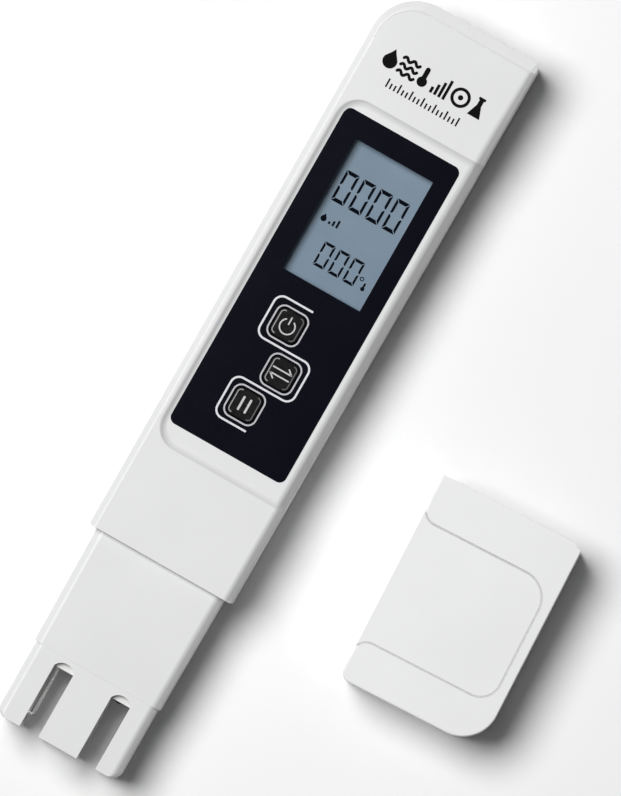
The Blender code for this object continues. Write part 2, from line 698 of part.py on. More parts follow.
def probe_sleeve(tester):
    low, high = SLEEVE_HEIGHTS
    span = (-SLEEVE_HALF, SLEEVE_HALF, -SLEEVE_LENGTH, -GAP)
    shape = slab(span, [0.3] * 4, low, high, SLEEVE_ROUND, SLEEVE_ROUND, shares=(1, 1, 0.1, 0.1))
    for vertex in shape.verts:
        down = -vertex.co.y / (SLEEVE_LENGTH * MM)
        vertex.co.x *= 1.0 - down * SLEEVE_DRAFT / SLEEVE_HALF
    sleeve = add_piece("probe_sleeve", shape, tester, principled("probe_sleeve", WHITE, 0.38))
    neck = bar(rectangle(-NECK_HALF, NECK_HALF, *NECK_HEIGHTS), -1.0, FLANGE_ENDS[0] + 0.5)
    join(sleeve, neck, bar(rectangle(-FLANGE_HALF, FLANGE_HALF, *FLANGE_HEIGHTS), *FLANGE_ENDS))
    cut(sleeve,
        bar(rectangle(-PROBE_CAVITY_HALF, PROBE_CAVITY_HALF, *PROBE_CAVITY_HEIGHTS),
            -SLEEVE_LENGTH - 1.0, -SLEEVE_ROOF),
        bar(rectangle(-NECK_BORE_HALF, NECK_BORE_HALF, *NECK_BORE_HEIGHTS),
            -SLEEVE_ROOF - 1.0, FLANGE_ENDS[1] + 1.0))


def sleeve_seal(tester):
    """Flat gasket around the sleeve's neck, between the end wall and the flange."""
    rubber = principled("sleeve_seal", RUBBER_BLACK, 0.7)
    seal = add_piece("sleeve_seal",
                     bar(rectangle(-FLANGE_HALF, FLANGE_HALF, *FLANGE_HEIGHTS), *SEAL_ENDS),
                     tester, rubber)
    low, high = NECK_HEIGHTS
    half = NECK_HALF + GAP
    cut(seal, bar(rectangle(-half, half, low - GAP, high + GAP), SEAL_ENDS[0] - 1.0,
                  SEAL_ENDS[1] + 1.0))


def electrode_block(tester):
    low, high = PROBE_CAVITY_HEIGHTS
    half = PROBE_CAVITY_HALF - GAP
    white = principled("electrode_block", (0.74, 0.74, 0.74), 0.45)
    plug = add_piece("electrode_block",
                     bar(rectangle(-half, half, low + GAP, high - GAP), *BLOCK_ENDS),
                     tester, white)
    start, stop = BLOCK_ENDS
    holes = [(x, ELECTRODE_RADIUS) for x in ELECTRODE_X.values()] + [(SENSOR_X, SENSOR_RADIUS)]
    for x, radius in holes:
        cut(plug, bar(circle(x, PROBE_MIDDLE, radius + GAP, 16), start - 1.0, stop + 1.0))


def electrode(tester, side):
    """Round pin with a domed tip, along Y."""
    tip, root = ELECTRODE_ENDS
    radius = ELECTRODE_RADIUS
    rings = []
    for y, share in ((tip, 0.35), (tip + 0.15, 0.7), (tip + 0.5, 1.0), (root, 1.0)):
        outline = circle(ELECTRODE_X[side], PROBE_MIDDLE, radius * share, 16)
        rings.append([(x, y, z) for x, z in outline])
    steel = principled("electrode_" + side, (0.62, 0.61, 0.60), 0.2, metallic=1.0)
    add_piece("electrode_" + side, loft(rings), tester, steel)


def temperature_sensor(tester):
    dark = principled("temperature_sensor", (0.02, 0.02, 0.022), 0.4)
    add_piece("temperature_sensor",
              bar(circle(SENSOR_X, PROBE_MIDDLE, SENSOR_RADIUS, 16), *SENSOR_ENDS), tester, dark)


def slot_outline(centre, bottom):
    """Slot open at the bottom; its top is a flat arc through the shoulders and the peak."""
    half = SLOT_WIDTH / 2
    rise = SLOT_PEAK - SLOT_SHOULDER
    radius = (half * half + rise * rise) / (2 * rise)
    reach = math.asin(half / radius)
    steps = 6
    points = [(centre - half, bottom), (centre + half, bottom)]
    for step in range(steps + 1):
        turn = reach - 2 * reach * step / steps
        points.append((centre + radius * math.sin(turn),
                       SLOT_PEAK - radius + radius * math.cos(turn)))
    return points


def probe_guard(tester):
    bottom, top = GUARD_ENDS
    low, high = GUARD_HEIGHTS
    shape = slab((-GUARD_HALF, GUARD_HALF, bottom, top), GUARD_CORNERS, low, high,
                 GUARD_ROUND, GUARD_ROUND, shares=(1.0, 1.0, 0.3, 0.1))
    guard = add_piece("probe_guard", shape, tester, principled("probe_guard", WHITE, 0.38))
    cut(guard, bar(rectangle(-PROBE_CAVITY_HALF, PROBE_CAVITY_HALF, *PROBE_CAVITY_HEIGHTS),
                   bottom - 1.0, top + 1.0))
    for centre in SLOT_CENTRES:
        cut(guard, prism(slot_outline(centre, bottom - 1.0), low - 1.0, high + 1.0))


def smooth_route(knots, count):
    """Evenly counted points on a Catmull-Rom curve through the knots."""
    padded = [knots[0], *knots, knots[-1]]
    spans = len(knots) - 1
    route = []
    for index in range(count):
        place = spans * index / (count - 1)
        span = min(int(place), spans - 1)
        t = place - span
        a, b, c, d = (Vector(padded[span + offset]) for offset in range(4))
        route.append(0.5 * (2 * b + (c - a) * t + (2 * a - 5 * b + 4 * c - d) * t ** 2
                            + (3 * b - 3 * c + d - a) * t ** 3))
    return route


def wire(tester, name, colour, knots):
    route = smooth_route(knots, 16)
    curve = bpy.data.curves.new(name, "CURVE")
    curve.dimensions = "3D"
    curve.bevel_depth = WIRE_RADIUS * MM
    curve.bevel_resolution = 2
    curve.use_fill_caps = True
    spline = curve.splines.new("POLY")
    spline.points.add(len(route) - 1)
    for point, place in zip(spline.points, route):
        point.co = (*(place * MM), 1.0)
    piece = bpy.data.objects.new(name, curve)
    bpy.context.scene.collection.objects.link(piece)
    piece.parent = tester
    curve.materials.append(principled(name, colour, 0.5))


def probe_wires(tester):
    """Leads from the pins and the sensor, through the neck, to the edge of the board."""
    middle = PROBE_MIDDLE
    root = ELECTRODE_ENDS[1] + GAP
    left = ELECTRODE_X["left"]
    right = ELECTRODE_X["right"]
    wire(tester, "electrode_wire_left", (0.45, 0.02, 0.02),
         [(left, root, middle), (left, -6, middle), (-7.0, 4, 6.9), (-6.0, 10, 5.9), (-5.6, 18, 5.5)])
    wire(tester, "electrode_wire_right", (0.015, 0.015, 0.017),
         [(right, root, middle), (8.6, -6, middle), (7.2, 4, 6.9), (6.2, 10, 5.9), (5.8, 18, 5.5)])
    wire(tester, "sensor_wire", (0.60, 0.38, 0.03),
         [(SENSOR_X, SENSOR_ENDS[1] + GAP, middle), (SENSOR_X, -10, middle), (3.5, 2, 6.9),
          (2.2, 10, 5.9), (2.0, 18, 5.5)])


def flared_field(half):
    """Outline of the cap's thumb field: round at the right, flared out at the left edge."""
    low, high = CAP_FIELD_ENDS
    low_radius, high_radius = CAP_FIELD_RADII
    flare = CAP_FIELD_FLARE
    outside = -half - 2.0
    points = [(outside, low - flare), (-half, low - flare)]
    for step in range(CORNER_STEPS + 1):
        turn = math.radians(90.0 * step / CORNER_STEPS)
        points.append((-half + flare * (1 - math.cos(turn)), low - flare * (1 - math.sin(turn))))
    right = CAP_FIELD_RIGHT
    for step in range(CORNER_STEPS + 1):
        turn = math.radians(90.0 * step / CORNER_STEPS - 90.0)
        points.append((right - low_radius + low_radius * math.cos(turn),
                       low + low_radius + low_radius * math.sin(turn)))
    for step in range(CORNER_STEPS + 1):
        turn = math.radians(90.0 * step / CORNER_STEPS)
        points.append((right - high_radius + high_radius * math.cos(turn),
                       high - high_radius + high_radius * math.sin(turn)))
    for step in range(CORNER_STEPS + 1):
        turn = math.radians(90.0 - 90.0 * step / CORNER_STEPS)
        points.append((-half + flare * (1 - math.cos(turn)), high + flare * (1 - math.sin(turn))))
    points += [(outside, high + flare)]
    return points


def probe_cap(resting_place):
    """Closed at -Y, open at the mouth; the origin is the middle of the mouth, on the floor."""
    half = CAP_WIDTH / 2
    span = (-half, half, -CAP_LENGTH, 0.0)
    shape = slab(span, CAP_CORNERS, 0.0, CAP_THICKNESS, CAP_ROUND, CAP_ROUND,
                 shares=(1.0, 1.0, 1.0, 0.15))
    white = principled("probe_cap", WHITE, 0.38)
    cap = add_piece("probe_cap", shape, resting_place, white)
    inside = (-half + CAP_WALL, half - CAP_WALL, CAP_END_WALL - CAP_LENGTH, 1.0)
    cavity = prism(rounded(inside, shrink_radii(CAP_CORNERS, CAP_WALL)),
                   CAP_WALL, CAP_THICKNESS - CAP_WALL)
    field = prism(flared_field(half), CAP_THICKNESS - CAP_FIELD_DEPTH, CAP_THICKNESS + 1.0)
    across, along = CAP_CORNER_CUT
    corner = [(half - 1.5 * across, 0.5 * along), (half + 0.5 * across, -1.5 * along),
              (half + 0.5 * across, 0.5 * along)]
    cut(cap, cavity, field, prism(corner, -1.0, CAP_THICKNESS + 1.0))


def build():
    clear_scene()
    tester = add_empty("tester", (0.0, -CASE_LENGTH / 2, 0.0))
    front_shell(tester)
    rear_shell(tester)
    case_screws(tester)
    face_panel(tester)
    display_window(tester)
    lcd_front_glass(tester)
    lcd_rear_glass(tester)
    lcd_reflector(tester)
    lcd_holder(tester)
    connector_strip(tester)
    for name in KEY_CENTRES:
        key(tester, name)
        key_switch(tester, name)
        switch_plunger(tester, name)
    circuit_board(tester)
    board_screws(tester)
    controller_chip(tester)
    crystal_can(tester)
    filter_capacitor(tester)
    calibration_trimmer(tester)
    calibration_screw(tester)
    battery_cells(tester)
    battery_contacts(tester)
    battery_bridge(tester)
    battery_door(tester)
    probe_sleeve(tester)
    sleeve_seal(tester)
    electrode_block(tester)
    for side in ELECTRODE_X:
        electrode(tester, side)
    temperature_sensor(tester)
    probe_wires(tester)
    probe_guard(tester)
    resting_place = add_empty(
        "cap_resting_place", (CAP_MOUTH[0], CAP_MOUTH[1] - CASE_LENGTH / 2, 0.0), CAP_TURN)
    probe_cap(resting_place)


build()
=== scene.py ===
"""Studio look for the pen-type water tester and its cap.

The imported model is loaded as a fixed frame.  The pieces that show are built again here with
finer edges, on the same bodies, and every piece gets a procedural material.  All shapes are
written in millimetres, from the shoulder of the case (y = 0), its centre line and its back.
"""
import math

import bmesh
import bpy
from mathutils import Matrix, Vector


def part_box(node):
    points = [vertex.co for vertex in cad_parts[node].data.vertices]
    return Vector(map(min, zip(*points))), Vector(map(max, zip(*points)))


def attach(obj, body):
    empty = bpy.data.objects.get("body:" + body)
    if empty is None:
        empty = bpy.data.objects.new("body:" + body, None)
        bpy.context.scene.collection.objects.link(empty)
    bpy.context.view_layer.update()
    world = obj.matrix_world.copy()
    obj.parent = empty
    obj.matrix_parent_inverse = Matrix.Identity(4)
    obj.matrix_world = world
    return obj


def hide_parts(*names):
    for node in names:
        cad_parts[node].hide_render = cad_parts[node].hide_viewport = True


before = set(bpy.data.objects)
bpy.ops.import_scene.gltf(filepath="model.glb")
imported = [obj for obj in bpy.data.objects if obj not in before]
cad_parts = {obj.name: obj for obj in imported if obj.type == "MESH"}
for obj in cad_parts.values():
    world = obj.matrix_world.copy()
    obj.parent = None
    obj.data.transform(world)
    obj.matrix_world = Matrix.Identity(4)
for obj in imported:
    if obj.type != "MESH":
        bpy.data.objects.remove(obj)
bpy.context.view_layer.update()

MM = 0.001
GAP = 0.3
CORNER_STEPS = 14
EDGE_STEPS = 8
SMOOTH_ANGLE = math.radians(33)
EVEN = (1.0, 1.0, 1.0, 1.0)                # the same on the left, right, bottom and top
IMAGE_SIZE = (621, 796)

# Case.
CASE_HALF = 15.0
CASE_CORNERS = (0.6, 0.6, 1.0, 9.0)       # bottom left, bottom right, top right, top left
CASE_WALL = 1.6
FACE_HEIGHT = 13.97
SEAM = (6.78, 6.88)
CASE_EDGE = (1.72, 47.0, 0.92)             # width, slope in degrees and roll of the front edge
CASE_EDGE_SHARE = (0.85, 1.0, 0.01, 1.3)  # left, right, bottom, top
CASE_EDGE_FALL = (0.9, 1.0, 0.1, 0.14)
CASE_LEAN = 0.5                           # how far the right side leans out at the top end
# Depth of the right bevel along the case.
CASE_EASE = ((0.0, 0.98), (19.0, 1.0), (21.0, 1.04), (35.0, 1.04), (80.0, 1.04), (92.0, 1.04),
             (94.0, 0.96), (100.0, 0.86), (104.0, 0.77), (112.4, 0.52), (112.7, 0.12),
             (115.0, 0.12))
CASE_LEAN_FADE = (21.0, 35.0, 80.0, 92.0)  # where the lean spreads over the rolled edge
CASE_NARROWING = (100.0, 110.0, 0.2)      # start, end and share of the bevel's narrower end
CASE_EDGE_REACH = 2.0                     # widest bevel, from the side
CASE_EDGE_DEPTH = 2.3                     # below it the wall stretches to the seam
CASE_END_LEAN = 0.05                      # how far the lower end overhangs at the face
TOP_LINE = (112.45, 7.0, 0.13)            # height along the case, corner radius, half width
BACK_EDGE = (1.0, 1.0)
FRONT_INNER_HEIGHT = 11.5
LIP_INSETS = (1.9, 2.5)
LIP_HEIGHTS = (5.2, 6.7, 7.9)
INK = 0.02

# Field in the front face and its printed panel.
FIELD_LEFT = -13.22
FIELD_LEFT_HEIGHT = 13.43                 # floor at the left wall
FIELD_LEFT_WALL = (1.44, 1.0, 38.8)      # fillet at the floor, round at the top, steepest slope
FIELD_EDGE = (1.97, 54.0, 1.0)
FIELD_ENDS = (19.3, 93.1)
FIELD_RADIUS = 4.9
FIELD_HEIGHT = 13.39
FIELD_WALL = (2.2, 0.25, 40.0)
PANEL_RADIUS = 1.4
WINDOW_PLATE_MARGIN = (0.6, 0.6, 0.6, 0.3)
LCD_CELL = 0.3
# Rows of digits: count, left, pitch, foot, width, height, line, level line and gap.
LCD_DIGITS = ((4, -6.0, 3.57, 74.05, 2.7, 6.35, 0.5, 0.72, 0.1),
              (3, -3.0, 3.1, 62.0, 2.32, 4.9, 0.42, 0.55, 0.09))
PANEL_TRIM = 0.08                          # off the film's left edge

# Print on the face.
PRINT_BASE = 100.15
PRINT_HEIGHT = 3.9
TICKS = (19, -7.35, 0.82, 97.0, 0.32)     # count, left, pitch, foot and width
TICK_HEIGHTS = (1.75, 1.1, 1.1)

# Keys.
KEY_NAMES = ("power", "shift", "hold")
KEY_SIZE = 5.5
KEY_RADIUS = 1.25
KEY_HOLE_GAP = 0.15
KEY_FLANGE_SIZE = 7.0
KEY_NUB_RADIUS = 1.2
KEY_RING = (6.72, 0.31, 1.75)              # outer size, line width, outer radius
GUIDE_CORNERS = ((1.5, 54.2), (-5.66, 54.2), (-5.66, 45.55), (6.45, 45.55), (6.45, 37.35),
                 (-5.22, 37.35), (-5.22, 28.95), (1.6, 28.95))

# Screws, bosses and openings.
CASE_SCREW_CENTRES = ((-10.2, 10.5), (10.2, 10.5), (-10.2, 92.0), (10.2, 92.0))
BOARD_SCREW_CENTRES = ((-10.4, 19.5), (10.4, 19.5), (-10.4, 52.2), (10.4, 52.2))
TRIMMER_CENTRE = (-3.0, 26.0)
NECK_HALF = 11.0
NECK_HEIGHTS = (3.6, 10.4)
FLANGE_HALF = 12.2
FLANGE_HEIGHTS = (2.4, 11.2)
FLANGE_ENDS = (3.3, 4.8)
SEAL_START = 1.9

# Battery compartment and its door.
CELL_SPACE = (-6.1, 6.1, 89.0, 112.9)
CELL_SPACE_HEIGHT = 8.3
COMPARTMENT = (-7.3, 7.3, 88.3, 112.4)
COMPARTMENT_HEIGHT = 9.3
SKIRT_HALF = 8.5
SKIRT_HEIGHT = 3.2
DOOR_HALF = 6.0
DOOR_FLANGE_HALF = 7.1
DOOR_START = 87.6
DOOR_FLANGE_END = 114.2
DOOR_THICKNESS = 1.3
DOOR_FLANGE_BOTTOM = 0.9
DOOR_CHANNEL_HEIGHT = 2.1
GRIP_GROOVES = (91.0, 92.6, 94.2, 95.8)

# Probe.
SLEEVE_EDGE = (1.65, 43.0, 0.95)
SLEEVE_DRAFT = 0.25
SOCKET_DEPTH = 0.3
CAVITY_HALF = 11.95
CAVITY_HEIGHTS = (3.0, 11.0)
GUARD_CORNERS = (2.0, 2.0, 0.3, 0.3)
GUARD_EDGE = (1.5, 45.0, 0.9)
SLOT_CENTRES = (-5.7, 6.35)
SLOT_WIDTH = 4.0
SLOT_SHOULDER = -25.8
SLOT_PEAK = -24.6
RIB_HEIGHT = 11.25

# Cap, from the middle of its mouth.
CAP_MOUTH = (51.83, 40.73)
CAP_TURN = math.radians(2.4)
CAP_HALF = 14.5
CAP_LENGTH = 42.05
CAP_THICKNESS = 13.1
CAP_CORNERS = (1.8, 7.0, 0.3, 0.3)
CAP_CORNER_CUT = (2.4, 1.1)               # across and along, off the right corner of the mouth
CAP_WALL = 0.85
CAP_FIELD_HEIGHT = 12.9
CAP_GROOVE = (0.4, 0.3)                   # width and depth of the line round the field
CAP_FIELD_RIGHT = 12.5
CAP_FIELD_ENDS = (-33.75, -9.05)
CAP_FIELD_RADII = (4.0, 5.2)
CAP_FIELD_FLARE = 2.7

# Light: metres, watts and a direction.
LAMP_SIZE = (0.68, 0.62)
LAMP_POWER = 10.9
LAMP_AIM = (0.01, -0.01, 0.0)
LAMP_DIRECTION = (-0.466, 0.08, 1.0)
SKY_COLOUR = (0.985, 0.985, 1.0, 1.0)
SKY_STRENGTH = 0.065

# Camera, in millimetres and radians.
CAMERA_TARGET = (8.798, -16.953, 7.0)
CAMERA_TURN = (0.03746, 0.02026, 0.51684)
CAMERA_DISTANCE = 2000.0
CAMERA_SCALE = 5.40688                    # picture units per millimetre at the target


def middle_of(node):
    """Middle of a CAD node's box, in millimetres from the shoulder."""
    low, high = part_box(node)
    return (low + high) / (2 * MM) - Vector((0.0, SHOULDER, 0.0))


def span_of(node):
    """(left, right, bottom, top) of a CAD node, in millimetres from the shoulder."""
    low, high = (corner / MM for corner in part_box(node))
    return (low.x, high.x, low.y - SHOULDER, high.y - SHOULDER)


def heights_of(node):
    low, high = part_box(node)
    return low.z / MM, high.z / MM


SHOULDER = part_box("rear_shell")[0].y / MM
CASE_SPAN = (-CASE_HALF, CASE_HALF, *span_of("rear_shell")[2:])
TESTER_PLACE = Matrix.Translation((0.0, SHOULDER, 0.0))
CAP_PLACE = (Matrix.Translation((CAP_MOUTH[0], CAP_MOUTH[1] + SHOULDER, 0.0))
             @ Matrix.Rotation(CAP_TURN, 4, "Z"))


# Outlines

def rounded(span, radii, steps=CORNER_STEPS):
    left, right, bottom, top = span
    corners = ((left, bottom, 1, 1, 180), (right, bottom, -1, 1, 270),
               (right, top, -1, -1, 0), (left, top, 1, -1, 90))
    points = []
    for (x, y, inward_x, inward_y, start), radius in zip(corners, radii):
        for step in range(steps + 1):
            angle = math.radians(start + 90.0 * step / steps)
            points.append((x + radius * (inward_x + math.cos(angle)),
                           y + radius * (inward_y + math.sin(angle))))
    return points


def rectangle(left, right, bottom, top):
    return [(left, bottom), (right, bottom), (right, top), (left, top)]


def circle(x, y, radius, segments=40):
    turns = [2.0 * math.pi * step / segments for step in range(segments)]
    return [(x + radius * math.cos(turn), y + radius * math.sin(turn)) for turn in turns]


def clamped(value):
    return min(max(value, 0.0), 1.0)


def shrink(span, inset, shares=EVEN):
    left, right, bottom, top = span
    return (left + inset * shares[0], right - inset * shares[1],
            bottom + inset * shares[2], top - inset * shares[3])


def shrink_radii(radii, inset):
    return [max(radius - inset, 0.12) for radius in radii]


def square(centre, size):
    x, y = centre[0], centre[1]
    return (x - size / 2, x + size / 2, y - size / 2, y + size / 2)


def soft_edge(width, height):
    """(drop, inset) pairs from a side up to a face, along a quarter of an ellipse."""
    turns = [math.radians(90.0 * step / EDGE_STEPS) for step in range(EDGE_STEPS + 1)]
    return [(height * (1.0 - math.sin(turn)), width * (1.0 - math.cos(turn))) for turn in turns]


def rolled_edge(width, slope, roll, nose=0.1):
    """(drop, inset) pairs from a side up to a face: a nose, a flat chamfer, then a roll."""
    slope = math.radians(slope)
    radius = roll / math.sin(slope)
    turns = [slope * step / EDGE_STEPS for step in range(EDGE_STEPS + 1)]
    pairs = [(radius * (1.0 - math.cos(turn)), width - radius * math.sin(turn)) for turn in turns]
    pairs.append((pairs[-1][0] + (width - roll - nose) * math.tan(slope), nose))
    tip = nose / (1.0 - math.sin(slope))
    foot = pairs[-1][0]
    for step in range(1, 5):
        turn = slope + (math.pi / 2 - slope) * step / 4
        pairs.append((foot + tip * (math.cos(slope) - math.cos(turn)),
                      tip * (1.0 - math.sin(turn))))
    return list(reversed(pairs))


def filleted(points, radius, steps=10):
    """Open line through the points with its corners rounded."""
    places = [Vector(point) for point in points]
    line = [places[0]]
    for before, corner, after in zip(places, places[1:], places[2:]):
        one = (before - corner).normalized()
        two = (after - corner).normalized()
        half = one.angle(two) / 2.0
        centre = corner + (one + two).normalized() * radius / math.sin(half)
        first = corner + one * radius / math.tan(half) - centre
        last = corner + two * radius / math.tan(half) - centre
        start = math.atan2(first.y, first.x)
        sweep = math.atan2(last.y, last.x) - start
        sweep = (sweep + math.pi) % (2.0 * math.pi) - math.pi
        for step in range(steps + 1):
            turn = start + sweep * step / steps
            line.append(centre + radius * Vector((math.cos(turn), math.sin(turn))))
    line.append(places[-1])
    return line


def arc(x, y, radius, start, stop, steps=24):
    turns = [math.radians(start + (stop - start) * step / steps) for step in range(steps + 1)]
    return [(x + radius * math.cos(turn), y + radius * math.sin(turn)) for turn in turns]


# Solids, as bmesh in millimetres

def loft(rings, closed=False, strips=False):
    """Solid through rings of (x, y, z) points; closed joins the last ring to the first.

    With strips, the second half of each ring mirrors the first and the end faces may curve.
    """
    shape = bmesh.new()
    loops = [[shape.verts.new(point) for point in ring] for ring in rings]
    count = len(loops[0])
    pairs = list(zip(loops, loops[1:])) + ([(loops[-1], loops[0])] if closed else [])
    for lower, upper in pairs:
        for index in range(count):
            after = (index + 1) % count
            shape.faces.new((lower[index], lower[after], upper[after], upper[index]))
    if strips:
        for loop in (loops[0], loops[-1]):
            for index in range(count // 2 - 1):
                mirrored = count - 1 - index
                shape.faces.new((loop[index], loop[index + 1], loop[mirrored - 1],
                                 loop[mirrored]))
    elif not closed:
        shape.faces.new(list(reversed(loops[0])))
        shape.faces.new(loops[-1])
    bmesh.ops.recalc_face_normals(shape, faces=shape.faces)
    return shape


def prism(outline, low, high):
    return loft([[(x, y, height) for x, y in outline] for height in (low, high)])


def bar(outline, start, stop):
    return loft([[(x, y, z) for x, z in outline] for y in (start, stop)])


def block(span, low, high):
    return prism(rectangle(*span), low, high)


def duct(half, heights, start, stop):
    """Rectangular bar along the tester, centred on it."""
    return bar(rectangle(-half, half, *heights), start, stop)


def rods(centres, radius, low, high, segments=40):
    """Upright round rods, one on each centre."""
    return [prism(circle(x, y, radius, segments), low, high) for x, y in centres]


def side_values(values):
    """One value per point of a rounded outline, from those of its left, right, bottom and top."""
    left, right, bottom, top = values
    found = []
    for start in (180, 270, 0, 90):
        for step in range(CORNER_STEPS + 1):
            turn = math.radians(start + 90.0 * step / CORNER_STEPS)
            along = math.cos(turn)
            found.append((right if along > 0 else left) * along ** 2
                         + (top if math.sin(turn) > 0 else bottom) * math.sin(turn) ** 2)
    return found


def slab(span, radii, low, high, low_edge=(), high_edge=(), low_share=EVEN, high_share=EVEN,
         high_fall=EVEN):
    """Body with rounded corners in plan and (drop, inset) edges below and above."""
    flat = [(0.0, 0.0)]
    levels = [(low, drop, inset, low_share, EVEN) for drop, inset in reversed(low_edge or flat)]
    levels += [(high, -drop, inset, high_share, high_fall) for drop, inset in high_edge or flat]
    rings = []
    for height, rise, inset, share, fall in levels:
        outline = rounded(shrink(span, inset, share), shrink_radii(radii, inset))
        rings.append([(x, y, height + rise * scale)
                      for (x, y), scale in zip(outline, side_values(fall))])
    return loft(rings)


def ribbon(path, width, low, high, closed=False):
    """Flat line of even width along a path, with round ends."""
    points = [Vector(point) for point in path]
    count = len(points)
    sections = []
    for index, point in enumerate(points):
        before = points[index - 1] if index or closed else point
        after = points[(index + 1) % count] if index + 1 < count or closed else point
        sections.append((point, (after - before).normalized(), width / 2))
    if not closed:
        turns = [math.radians(step) for step in (30.0, 55.0, 75.0)]
        point, ahead, half = sections[0]
        start = [(point - ahead * half * math.sin(turn), ahead, half * math.cos(turn))
                 for turn in reversed(turns)]
        point, ahead, half = sections[-1]
        sections = start + sections + [(point + ahead * half * math.sin(turn), ahead,
                                        half * math.cos(turn)) for turn in turns]
    rings = []
    for point, ahead, half in sections:
        side = Vector((-ahead.y, ahead.x)) * half
        left = point + side
        right = point - side
        rings.append([(*left, low), (*right, low), (*right, high), (*left, high)])
    return loft(rings, closed)


def tube(path, radius, segments=12):
    """Round rod along a level path of (x, y, z) points."""
    points = [Vector(point) for point in path]
    rings = []
    for index, point in enumerate(points):
        ahead = (points[min(index + 1, len(points) - 1)] - points[max(index - 1, 0)]).normalized()
        side = ahead.cross(Vector((0.0, 0.0, 1.0))).normalized()
        rings.append([point + radius * (side * math.cos(turn) + side.cross(ahead) * math.sin(turn))
                      for turn in (2.0 * math.pi * step / segments for step in range(segments))])
    return loft(rings)


def mesh_of(shape, name):
    mesh = bpy.data.meshes.new(name)
    shape.to_mesh(mesh)
    shape.free()
    return mesh


def into_scene(name, data):
    item = bpy.data.objects.new(name, data)
    bpy.context.scene.collection.objects.link(item)
    return item


def merge(*shapes):
    """Separate solids as one."""
    whole = bmesh.new()
    for shape in shapes:
        part = mesh_of(shape, "part")
        whole.from_mesh(part)
        bpy.data.meshes.remove(part)
    return whole


def plates(outlines, low, high):
    return merge(*[prism(outline, low, high) for outline in outlines])


def boolean(shape, tool, operation):
    hosts = [into_scene("solid", mesh_of(item, "solid")) for item in (shape, tool)]
    modifier = hosts[0].modifiers.new("Boolean", "BOOLEAN")
    modifier.operation = operation
    modifier.solver = "EXACT"
    modifier.object = hosts[1]
    bpy.context.view_layer.update()
    mesh = bpy.data.meshes.new_from_object(
        hosts[0].evaluated_get(bpy.context.evaluated_depsgraph_get()))
    result = bmesh.new()
    result.from_mesh(mesh)
    spent = [mesh] + [host.data for host in hosts]
    for host in hosts:
        bpy.data.objects.remove(host)
    for used in spent:
        bpy.data.meshes.remove(used)
    bmesh.ops.remove_doubles(result, verts=result.verts, dist=0.0005)
    return result


def cut(shape, *tools):
    for tool in tools:
        shape = boolean(shape, tool, "DIFFERENCE")
    return shape


def join(shape, *tools):
    for tool in tools:
        shape = boolean(shape, tool, "UNION")
    return shape


def add_piece(name, shape, slot, *nodes, body="tester", look=None, place=TESTER_PLACE, edge=0.1):
    """Put a solid into the scene on its body, with its finish and a fine bevel."""
    mesh = mesh_of(shape, name)
    mesh.transform(Matrix.Scale(MM, 4) @ place)
    mesh.materials.append(look or LOOKS[slot])
    mesh.shade_smooth()
    mesh.set_sharp_from_angle(angle=SMOOTH_ANGLE)
    piece = into_scene(name, mesh)
    if edge:
        bevel_edges(piece, edge)
    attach(piece, body)
    if nodes:
        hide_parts(*nodes)
    return piece


def lean(shape):
    """Lean the case's right side out towards the top and vary the depth of its bevel."""
    depth = CASE_EDGE_DEPTH
    reach = FACE_HEIGHT - SEAM[1]
    fade_in, full, fading, fade_out = CASE_LEAN_FADE
    narrow_start, narrow_end, narrow_share = CASE_NARROWING
    for y, _ in CASE_EASE[1:-1]:
        bmesh.ops.bisect_plane(shape, geom=shape.verts[:] + shape.edges[:] + shape.faces[:],
                               plane_co=(0.0, y, 0.0), plane_no=(0.0, 1.0, 0.0))
    for vertex in shape.verts:
        x, y, z = vertex.co
        if z > FRONT_INNER_HEIGHT + 0.1 and x > CASE_HALF - CASE_EDGE_REACH:
            progress = (y - narrow_start) / (narrow_end - narrow_start)
            vertex.co.x += narrow_share * clamped(progress) * (CASE_HALF - x)
        spread = 1.0 + min(clamped((y - fade_in) / (full - fade_in)),
                           clamped((fade_out - y) / (fade_out - fading)))
        share = clamped((x - CASE_HALF + CASE_EDGE_REACH + 0.4) / spread)
        vertex.co.x += share * CASE_LEAN * y / CASE_SPAN[3]
        if y < 0.5 and z > SEAM[1]:
            vertex.co.y -= CASE_END_LEAN * (z - SEAM[1]) / reach
        drop = FACE_HEIGHT - z
        if x > CASE_HALF - CASE_EDGE_REACH and 0.0 < drop < reach:
            ease = 1.0
            for (start, ease_1), (stop, ease_2) in zip(CASE_EASE, CASE_EASE[1:]):
                if start <= y <= stop:
                    ease = ease_1 + (ease_2 - ease_1) * (y - start) / (stop - start)
            if drop < depth:
                drop *= ease
            else:
                drop = depth * ease + (drop - depth) * (reach - depth * ease) / (reach - depth)
            vertex.co.z = FACE_HEIGHT - drop
    return shape


def bevel_edges(piece, width):
    bevel = piece.modifiers.new("fine_bevel", "BEVEL")
    bevel.width = width * MM
    bevel.segments = 2
    bevel.limit_method = "ANGLE"
    bevel.angle_limit = SMOOTH_ANGLE
    flat = piece.modifiers.new("flat_faces", "WEIGHTED_NORMAL")
    flat.keep_sharp = True
    flat.weight = 100


# Materials

